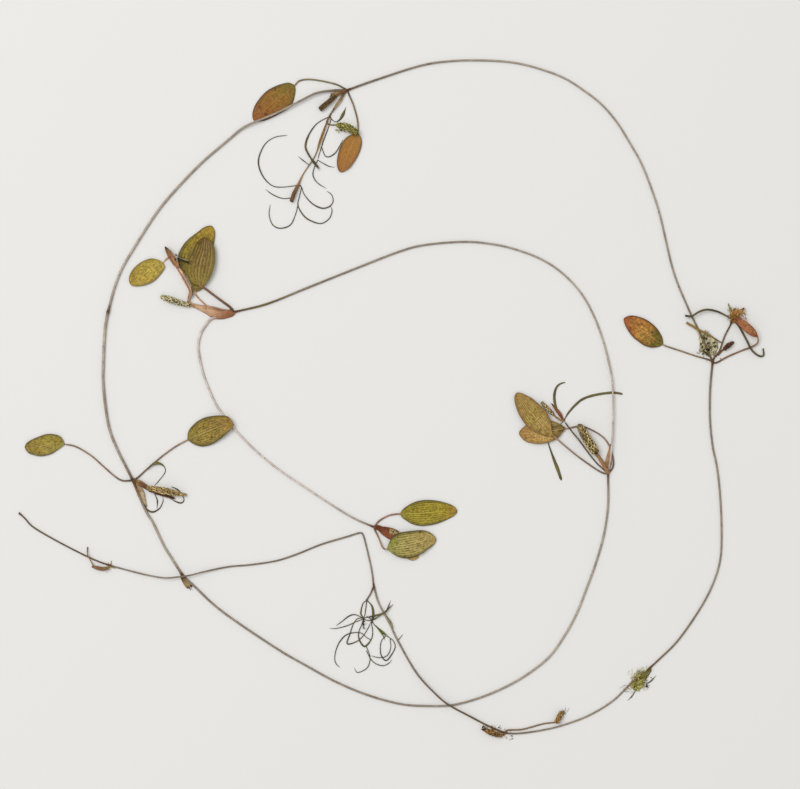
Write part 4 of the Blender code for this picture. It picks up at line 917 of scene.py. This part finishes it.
class Paint:
    """A node material, with one short method for each kind of node it uses."""

    def __init__(self, name, roughness=0.45, coat=0.0, soft=0.0):
        self.material = bpy.data.materials.new(name)
        self.material.use_nodes = True
        self.tree = self.material.node_tree
        self.shader = self.tree.nodes["Principled BSDF"]
        settings = {
            "Roughness": roughness, "Specular IOR Level": 0.16, "Coat Weight": coat, "Coat Roughness": 0.3,
            "Subsurface Weight": soft, "Subsurface Radius": SOFT_RADIUS, "Subsurface Scale": SOFT_SCALE}
        for key, value in settings.items():
            self.shader.inputs[key].default_value = value
        self.grain = self.add("ShaderNodeAttribute", attribute_name="grain").outputs["Vector"]
        self.split = self.add("ShaderNodeSeparateXYZ")
        self.put(self.grain, self.split.inputs[0])
        self.where = self.add("ShaderNodeTexCoord").outputs["Object"]

    def add(self, kind, **settings):
        made = self.tree.nodes.new(kind)
        for key, value in settings.items():
            setattr(made, key, value)
        return made

    def put(self, value, socket):
        """A link from an output, a plain value, or a colour from 0 to 255."""
        if isinstance(value, bpy.types.NodeSocket):
            self.tree.links.new(value, socket)
        elif isinstance(value, tuple) and socket.type == "RGBA":
            socket.default_value = (*linear(value), 1.0)
        else:
            socket.default_value = value

    def part(self, index):
        """One of the three numbers of the tag."""
        return self.split.outputs[index]

    def calc(self, operation, first, second=0.0):
        made = self.add("ShaderNodeMath", operation=operation)
        self.put(first, made.inputs[0])
        self.put(second, made.inputs[1])
        return made.outputs[0]

    def times(self, first, second):
        return self.calc("MULTIPLY", first, second)

    def plus(self, first, second):
        return self.calc("ADD", first, second)

    def less(self, first, second):
        return self.calc("SUBTRACT", first, second)

    def size(self, value):
        """The value without its sign."""
        return self.calc("ABSOLUTE", value)

    def step(self, value, low, high):
        """0 below low, 1 above high, smooth between."""
        made = self.add("ShaderNodeMapRange", interpolation_type="SMOOTHSTEP")
        self.put(value, made.inputs["Value"])
        self.put(low, made.inputs["From Min"])
        self.put(high, made.inputs["From Max"])
        return made.outputs["Result"]

    def mix(self, share, first, second):
        made = self.add("ShaderNodeMix", data_type="RGBA")
        self.put(share, made.inputs[0])
        self.put(first, made.inputs[6])
        self.put(second, made.inputs[7])
        return made.outputs[2]

    def cover(self, colour, tone, mask, strength):
        """The colour with the tone laid over it where the mask is 1, by strength."""
        return self.mix(self.times(mask, strength), colour, tone)

    def ramp(self, value, stops):
        made = self.add("ShaderNodeValToRGB")
        self.put(value, made.inputs[0])
        band = made.color_ramp
        while len(band.elements) < len(stops):
            band.elements.new(0.5)
        for element, (spot, colour) in zip(band.elements, stops):
            element.position = spot
            element.color = (*linear(colour), 1.0)
        return made.outputs["Color"]

    def uneven(self, colour, value, low, high, depth):
        """The colour made darker where value is near low and lighter where it is near high, by depth."""
        factor = self.plus(self.times(self.step(value, low, high), 2 * depth), 1 - depth)
        made = self.add("ShaderNodeVectorMath", operation="SCALE")
        self.put(linear(colour) if isinstance(colour, tuple) else colour, made.inputs[0])
        self.put(factor, made.inputs["Scale"])
        return made.outputs[0]

    def noise(self, scale, detail=2.0, where=None, roughness=0.5):
        made = self.add("ShaderNodeTexNoise")
        for key, value in {"Scale": scale, "Detail": detail, "Roughness": roughness}.items():
            self.put(value, made.inputs[key])
        self.put(where or self.where, made.inputs["Vector"])
        return made.outputs["Fac"]

    def patches(self, scale, low, high, detail=2.0):
        """1 in patches where the noise is over high, 0 where it is under low."""
        return self.step(self.noise(scale, detail), low, high)

    def drifting(self, value, scale, amount):
        """The value, shifted up and down by noise."""
        return self.plus(value, self.times(self.less(self.noise(scale), 0.5), amount))

    def stretched(self, across, along):
        """The tags as texture coordinates, scaled across and along the piece."""
        made = self.add("ShaderNodeVectorMath", operation="MULTIPLY")
        self.put(self.grain, made.inputs[0])
        self.put((across, along, 0.0), made.inputs[1])
        return made.outputs[0]

    def streaks(self, scale, across, along, detail=3.0):
        """Noise drawn out along the piece."""
        return self.noise(scale, detail, self.stretched(across, along))

    def cells(self, scale, where=None):
        made = self.add("ShaderNodeTexVoronoi")
        self.put(where or self.where, made.inputs["Vector"])
        self.put(scale, made.inputs["Scale"])
        return made.outputs["Distance"]

    def shaded_flanks(self):
        """1 on the two sides of a round stem, where painted shade is laid, 0 on its top and underside."""
        return self.step(self.size(self.less(self.part(0), 0.5)), 0.27, 0.47)

    def lines(self, value, count, thin, wide):
        """1 on evenly spaced lines, count of them for each 1 of the value."""
        steps = self.times(value, count)
        gap = self.size(self.less(steps, self.calc("ROUND", steps)))
        return self.less(1.0, self.step(gap, thin, wide))

    def done(self, colour, height, strength, roughness=None):
        """Sets the colour, a bump from the height, and the roughness. The finished material."""
        made = self.add("ShaderNodeBump")
        self.put(strength, made.inputs["Strength"])
        self.put(BUMP_DISTANCE, made.inputs["Distance"])
        self.put(height, made.inputs["Height"])
        self.put(made.outputs["Normal"], self.shader.inputs["Normal"])
        self.put(colour, self.shader.inputs["Base Color"])
        if roughness is not None:
            self.put(roughness, self.shader.inputs["Roughness"])
        return self.material


def stem_paint(name, length):
    """A stem: its tones from start to end, painted shade on its two sides, fine streaks, uneven patches,
    dark bands, brown at its nodes.
    """
    tones = STEM_TONES[name]
    paint = Paint(name, coat=0.1, soft=0.1)
    stops = [(k / (len(tones) - 1), tone) for k, tone in enumerate(tones)]
    share = paint.calc("DIVIDE", paint.part(1), length)
    colour = paint.ramp(paint.drifting(share, 60.0, 0.3), stops)
    streaks = paint.streaks(3.0, 6.0, 0.22)
    grime = paint.noise(330.0, 3.0)
    # Painted shade: the stem's two sides are darkened with the flank tone.
    colour = paint.cover(colour, FLANK_SHADE, paint.shaded_flanks(), 0.6)
    colour = paint.uneven(colour, streaks, 0.32, 0.68, 0.26)
    colour = paint.uneven(colour, grime, 0.3, 0.7, 0.16)
    bands = paint.step(paint.streaks(1.0, 0.15, 0.55, 2.0), 0.6, 0.72)
    colour = paint.cover(colour, KNOT, bands, 0.45)
    flecks = paint.times(paint.step(paint.cells(520.0), 0.24, 0.12), paint.patches(170.0, 0.5, 0.62))
    colour = paint.cover(colour, shade(KNOT, 0.7), flecks, 0.7)
    near = paint.times(paint.part(2), paint.plus(paint.noise(700.0), 0.5))
    colour = paint.mix(paint.calc("MINIMUM", near, 0.95), colour, KNOT)
    return paint.done(colour, streaks, 0.35, paint.plus(paint.times(grime, 0.3), 0.3))


def leaf_paint(name, base, middle, tip, rim=(80, 70, 24), vein=(186, 168, 82), dark=(100, 86, 26),
               freckles=0.0, veins=0.45, count=VEIN_SPACES, mottle=0.45, turns=(0.05, 0.5, 0.95),
               petiole=PETIOLE, fine=0.36):
    """A leaf: tones from base to tip, parallel veins, rows of cells, dapples, freckles and a dark rim, and
    painted shade on the petiole's sides.
    """
    paint = Paint(name, coat=0.06, soft=0.08)
    side = paint.size(paint.part(0))
    along = paint.part(1)
    colour = paint.ramp(paint.drifting(along, 150.0, 0.6), list(zip(turns, (base, middle, tip))))
    dapples = paint.noise(300.0, 4.0, roughness=0.6)
    colour = paint.cover(colour, dark, paint.step(dapples, 0.46, 0.66), mottle)
    # Rows of cells between the veins, longer than wide, then a finer grain over them.
    cells = paint.cells(1.0, paint.stretched(8.5, 26.0))
    colour = paint.uneven(colour, cells, 0.62, 0.12, 0.65 * fine)
    grain = paint.noise(1500.0, 3.0, roughness=0.7)
    colour = paint.uneven(colour, grain, 0.38, 0.62, fine)
    lines = paint.lines(side, count, 0.06, 0.3)
    broken = paint.times(lines, paint.patches(520.0, 0.3, 0.6))
    colour = paint.cover(colour, vein, broken, veins)
    rib = paint.less(1.0, paint.step(side, 0.015, 0.06))
    fading = paint.less(0.8, paint.times(along, 0.6))
    colour = paint.cover(colour, vein, rib, fading)
    spots = paint.times(paint.step(paint.cells(400.0), 0.30, 0.15), paint.patches(190.0, 0.5, 0.6))
    colour = paint.cover(colour, shade(rim, 0.55), spots, freckles)
    colour = paint.cover(colour, rim, paint.step(side, 0.66, 0.94), 0.5)
    ends = paint.calc("MAXIMUM", paint.step(along, 0.955, 0.98), paint.step(side, 0.88, 0.95))
    colour = paint.cover(colour, rim, ends, 0.95)
    # The petiole's tags keep their third number under 0.5.
    stalk = paint.ramp(paint.part(2), [
        (0.0, shade(petiole, 0.65)), (0.12, petiole), (0.36, petiole), (0.45, shade(petiole, 1.25))])
    # Painted shade on the petiole's two sides.
    stalk = paint.cover(stalk, shade(petiole, 0.5), paint.shaded_flanks(), 0.7)
    stalk = paint.uneven(stalk, dapples, 0.35, 0.65, 0.25)
    colour = paint.mix(paint.step(paint.part(2), 0.5, 0.6), stalk, colour)
    height = paint.plus(paint.times(grain, 0.7), paint.times(lines, 0.5))
    return paint.done(colour, height, 0.45, paint.plus(paint.times(grain, 0.3), 0.32))


def spike_paint(look):
    """Small fruits: painted shade in the crevices between them, a painted highlight as a pale ring on each,
    a dark middle, and a different tone on each.
    """
    crevice_shade, ring_highlight, body, stalk = SPIKE_LOOKS[look]
    paint = Paint("fruits_" + look, coat=0.1)
    # Painted shade low between the fruits, and a painted highlight as a pale ring on their sides.
    stops = [(0.42, crevice_shade), (0.76, ring_highlight), (0.9, body), (0.99, shade(body, 0.6))]
    colour = paint.ramp(paint.part(1), stops)
    one = paint.calc("FRACT", paint.times(paint.part(0), 7.31))
    colour = paint.cover(colour, shade(body, 0.75), paint.step(one, 0.35, 0.1), 0.7)
    grain = paint.noise(1500.0, 3.0)
    colour = paint.uneven(colour, grain, 0.35, 0.65, 0.35)
    stalk_colour = paint.uneven(stalk, paint.streaks(3.0, 5.0, 0.4), 0.35, 0.65, 0.35)
    colour = paint.mix(paint.step(paint.part(2), 0.2, 0.4), stalk_colour, colour)
    return paint.done(colour, grain, 0.4)


def thread_paint(name, dark, green):
    """Thread leaves: dark olive brown, greener and paler where they are broad, with a dark edge."""
    paint = Paint(name, coat=0.1)
    colour = paint.mix(paint.patches(230.0, 0.4, 0.62, 3.0), dark, shade(dark, 1.35))
    colour = paint.cover(colour, green, paint.part(2), paint.patches(120.0, 0.3, 0.55))
    edge = paint.step(paint.size(paint.part(0)), 0.6, 0.95)
    colour = paint.cover(colour, shade(dark, 0.7), edge, 0.6)
    streaks = paint.streaks(4.0, 3.0, 0.5)
    colour = paint.uneven(colour, streaks, 0.35, 0.65, 0.3)
    return paint.done(colour, streaks, 0.3)


def membrane_paint(look):
    """A stipule: a thin sheet that changes its tone towards its end, with darker veins and edges."""
    base, end, vein = STIPULE_LOOKS[look]
    paint = Paint("stipule_" + look, coat=0.08, soft=0.15)
    drift = paint.drifting(paint.part(1), 400.0, 0.7)
    colour = paint.mix(paint.step(drift, 0.1, 0.9), base, end)
    lines = paint.lines(paint.part(0), 3.5, 0.08, 0.3)
    colour = paint.cover(colour, vein, lines, 0.5)
    colour = paint.uneven(colour, paint.streaks(3.0, 4.0, 1.2), 0.35, 0.65, 0.25)
    colour = paint.cover(colour, vein, paint.patches(600.0, 0.52, 0.68, 3.0), 0.6)
    edges = paint.step(paint.size(paint.part(0)), 0.82, 1.0)
    colour = paint.cover(colour, vein, edges, 0.85)
    return paint.done(colour, lines, 0.3)


def dirt_paint(name, dark, light):
    """Filaments and crumbs: patches of two tones."""
    paint = Paint(name, roughness=0.7)
    grime = paint.noise(700.0, 3.0)
    return paint.done(paint.mix(paint.step(grime, 0.42, 0.62), dark, light), grime, 0.4)


# Leaf tones.
LEAF_LOOKS = {
    "leaf_tip_upper": dict(base=(138, 124, 34), middle=(152, 134, 34), tip=(172, 124, 44), mottle=0.3,
        veins=0.6, vein=(196, 178, 78), turns=(0.05, 0.7, 1), petiole=(160, 118, 96)),
    "leaf_tip_lower": dict(base=(134, 140, 40), middle=(148, 138, 64), tip=(172, 142, 80),
        dark=(112, 104, 46), vein=(196, 184, 118), freckles=0.8, veins=0.75, mottle=0.35,
        turns=(0.04, 0.2, 0.95), petiole=(160, 124, 98)),
    "leaf_tip_young": dict(base=(172, 142, 88), middle=(190, 158, 104), tip=(198, 160, 108),
        dark=(160, 128, 76), rim=(128, 98, 56), petiole=(160, 96, 66)),
    "leaf_big_purple": dict(base=(134, 116, 40), middle=(118, 96, 35), tip=(104, 76, 30),
        vein=(164, 142, 80), dark=(98, 76, 30), rim=(112, 96, 34), veins=0.6, count=4.2, mottle=0.2,
        fine=0.26, petiole=(124, 92, 68)),
    "leaf_big_olive": dict(base=(124, 106, 40), middle=(142, 122, 36), tip=(168, 134, 34), rim=(96, 84, 34),
        vein=(180, 158, 72), mottle=0.3, turns=(0.05, 0.45, 0.9), petiole=(184, 142, 112)),
    "leaf_small_oval": dict(base=(176, 152, 60), middle=(180, 154, 58), tip=(172, 140, 46),
        dark=(150, 126, 48), rim=(122, 102, 42), vein=(200, 180, 96), mottle=0.3, petiole=(176, 132, 104)),
    "leaf_folded_long": dict(base=(190, 138, 98), middle=(178, 128, 88), tip=(104, 88, 50),
        dark=(130, 86, 52), rim=(78, 48, 26), vein=(218, 176, 136), mottle=0.35, freckles=0.7,
        turns=(0.05, 0.6, 0.98), petiole=(188, 148, 118)),
    "leaf_right_tan": dict(base=(158, 126, 64), middle=(154, 130, 56), tip=(146, 104, 48),
        dark=(138, 110, 44), rim=(122, 90, 46), vein=(200, 172, 110), veins=0.75, mottle=0.25,
        turns=(0.1, 0.5, 1)),
    "leaf_right_olive": dict(base=(92, 78, 34), middle=(204, 166, 92), tip=(150, 106, 52),
        dark=(168, 124, 60), rim=(130, 96, 50), vein=(222, 190, 122), mottle=0.2, turns=(0.26, 0.38, 1)),
    "leaf_left_small": dict(base=(150, 134, 42), middle=(154, 136, 48), tip=(140, 112, 40),
        dark=(118, 106, 40), rim=(92, 80, 44), vein=(190, 170, 98)),
    "leaf_left_speckled": dict(base=(140, 124, 40), middle=(152, 126, 48), tip=(156, 120, 50),
        dark=(112, 92, 30), vein=(188, 164, 96), freckles=0.85, mottle=0.8),
    "leaf_top_olive": dict(base=(116, 104, 28), middle=(148, 102, 34), tip=(148, 88, 32),
        dark=(122, 84, 28), rim=(84, 58, 26), vein=(166, 124, 62), veins=0.35, freckles=0.6, mottle=0.2,
        turns=(0.14, 0.5, 0.95), fine=0.24, petiole=(134, 118, 86)),
    "leaf_top_orange": dict(base=(166, 122, 52), middle=(162, 110, 46), tip=(148, 94, 40),
        dark=(150, 100, 42), rim=(104, 66, 34), vein=(190, 142, 78), mottle=0.08, fine=0.1,
        petiole=(134, 114, 84)),
    "leaf_far_right_red": dict(base=(106, 96, 32), middle=(184, 134, 58), tip=(166, 88, 48),
        dark=(120, 76, 32), rim=(96, 56, 30), vein=(194, 148, 80), veins=0.3, freckles=0.6,
        turns=(0.26, 0.46, 0.88), petiole=(136, 116, 88)),
    "leaf_far_right_folded": dict(base=(172, 110, 72), middle=(190, 130, 90), tip=(172, 108, 70),
        dark=(156, 92, 58), rim=(116, 62, 36), vein=(140, 84, 54), veins=0.6, petiole=(134, 98, 66)),
}
BLADE_BENDS = {
    "leaf_tip_young": dict(cup=0.1, ruffle=0.03),
    "leaf_folded_long": dict(cup=0, ruffle=0.05, trough=0.9),
    "leaf_far_right_folded": dict(cup=0, ruffle=0.08, trough=0.9),
    "leaf_big_purple": dict(cup=0.4),
    "leaf_top_olive": dict(cup=0.05, ruffle=0.04),
}
# Spike tones: painted shade in the crevices, painted highlight ring, body, stalk.
SPIKE_LOOKS = {
    "olive": ((44, 38, 14), (244, 236, 192), (122, 106, 52), (160, 120, 80)),
    "brown": ((38, 28, 10), (232, 210, 150), (116, 92, 42), (152, 112, 72)),
    "dark": ((54, 40, 20), (136, 110, 66), (96, 72, 42), (110, 76, 44)),
    "maroon": ((36, 18, 10), (122, 78, 52), (70, 38, 24), (104, 70, 42)),
    "bronze": ((36, 24, 10), (206, 156, 88), (112, 78, 36), (120, 86, 46)),
    "green": ((48, 44, 14), (194, 186, 102), (104, 98, 36), (120, 100, 52)),
    "golden": ((52, 32, 12), (214, 172, 104), (134, 94, 42), (124, 98, 68)),
    "red": ((58, 36, 14), (226, 200, 140), (140, 112, 62), (116, 68, 40)),
}
SPIKE_PAINTS = {
    "spike_left": ("red", "spike_dark"), "spike_left_side": ("maroon", "spike_dark"),
    "spike_top_dark": ("dark", "spike_dark"), "spike_far_right": ("maroon", "spike_dark"),
    "spike_bud_tip": ("red", "spike_dark"), "spike_top_green": ("green", "spike"),
    "spike_inner_right_large": ("brown", "spike"), "spike_inner_right_small": ("brown", "spike"),
    "spike_bottom": ("bronze", "spike"), "spike_bottom_side": ("golden", "spike"),
}
# Stipule tones: start, end, veins.
STIPULE_LOOKS = {
    "salmon": ((152, 98, 64), (228, 186, 148), (138, 90, 58)),
    "red": ((128, 72, 46), (166, 102, 70), (94, 48, 26)),
    "tan": ((164, 118, 78), (204, 168, 130), (150, 110, 74)),
    "brown": ((118, 84, 50), (176, 150, 106), (100, 74, 42)),
    "amber": ((150, 102, 52), (192, 146, 84), (122, 82, 38)),
    "olive": ((126, 116, 66), (166, 158, 104), (98, 88, 46)),
    "moss": ((208, 200, 136), (196, 188, 116), (164, 154, 80)),
    "cream": ((170, 134, 96), (212, 194, 156), (112, 80, 50)),
    "leaf_green": ((112, 126, 48), (122, 140, 52), (80, 92, 34)),
    "olive_deep": ((104, 96, 34), (132, 122, 50), (74, 66, 24)),
    "honey": ((150, 122, 66), (142, 114, 60), (104, 82, 38)),
    "pale_moss": ((222, 216, 188), (206, 198, 160), (164, 152, 104)),
    "dark": ((44, 34, 20), (56, 44, 26), (26, 20, 12)),
}


def build_plant():
    """Every piece of the plant, and the dirt on it."""
    for name, form in STEMS.items():
        stem(name, *form, "stem")
    for name, form in SIDE_SHOOTS.items():
        stem(name, *form, "shoot")
    for name, form in LEAVES.items():
        leaf(name, **form)
    for name, form in SPIKES.items():
        spike(name, *form)
    for name, form in {**STIPULES, **BITS}.items():
        membrane(name, *form)
    olive = thread_paint("thread_olive", THREAD_DARK, THREAD_GREEN)
    for name, threads in TUFTS.items():
        tuft(name, threads, olive)
    for name, branches in BUDS.items():
        bud(name, branches, olive)
    for name, form in DIRT.items():
        fuzz(name, *form)


def build_floor():
    """A plain pale surface."""
    signs = ((-1, -1), (1, -1), (1, 1), (-1, 1))
    corners = [(x * FLOOR_HALF, y * FLOOR_HALF, FLOOR_LEVEL) for x, y in signs]
    mesh = bpy.data.meshes.new("floor")
    mesh.from_pydata(corners, [], [(0, 1, 2, 3)])
    floor = bpy.data.objects.new("floor", mesh)
    bpy.context.scene.collection.objects.link(floor)
    paint = bpy.data.materials.new("floor_pale")
    paint.use_nodes = True
    shader = paint.node_tree.nodes["Principled BSDF"]
    shader.inputs["Base Color"].default_value = FLOOR_COLOUR
    shader.inputs["Roughness"].default_value = 0.8
    shader.inputs["Specular IOR Level"].default_value = 0.1
    mesh.materials.append(paint)


def build_light():
    """Even light from all round, and one large soft lamp from the upper left."""
    scene = bpy.context.scene
    world = bpy.data.worlds.new("studio")
    world.use_nodes = True
    sky = world.node_tree.nodes["Background"]
    sky.inputs["Color"].default_value = (1.0, 1.0, 1.0, 1.0)
    sky.inputs["Strength"].default_value = SKY_STRENGTH
    scene.world = world
    data = bpy.data.lights.new("softbox", "AREA")
    data.shape = "DISK"
    data.size = LAMP_SIZE
    data.energy = LAMP_ENERGY
    lamp = bpy.data.objects.new("softbox", data)
    lamp.location = LAMP_PLACE
    aim = -Vector(LAMP_PLACE)
    lamp.rotation_euler = aim.to_track_quat("-Z", "Y").to_euler()
    scene.collection.objects.link(lamp)
    scene.view_settings.view_transform = "Standard"
    scene.view_settings.look = "None"


def build_camera():
    """Straight down on the middle of the picture, with the picture's right along +X."""
    data = bpy.data.cameras.new("camera")
    data.sensor_fit = "HORIZONTAL"
    data.sensor_width = SENSOR
    data.lens = SENSOR * CAMERA_HEIGHT / VIEW_WIDTH
    data.clip_start, data.clip_end = CAMERA_RANGE
    camera = bpy.data.objects.new("camera", data)
    camera.location = Vector(at(*VIEW_CENTRE, CAMERA_HEIGHT)) * MM
    bpy.context.scene.collection.objects.link(camera)
    bpy.context.scene.camera = camera


build_plant()
build_floor()
build_light()
build_camera()

bpy.context.view_layer.update()
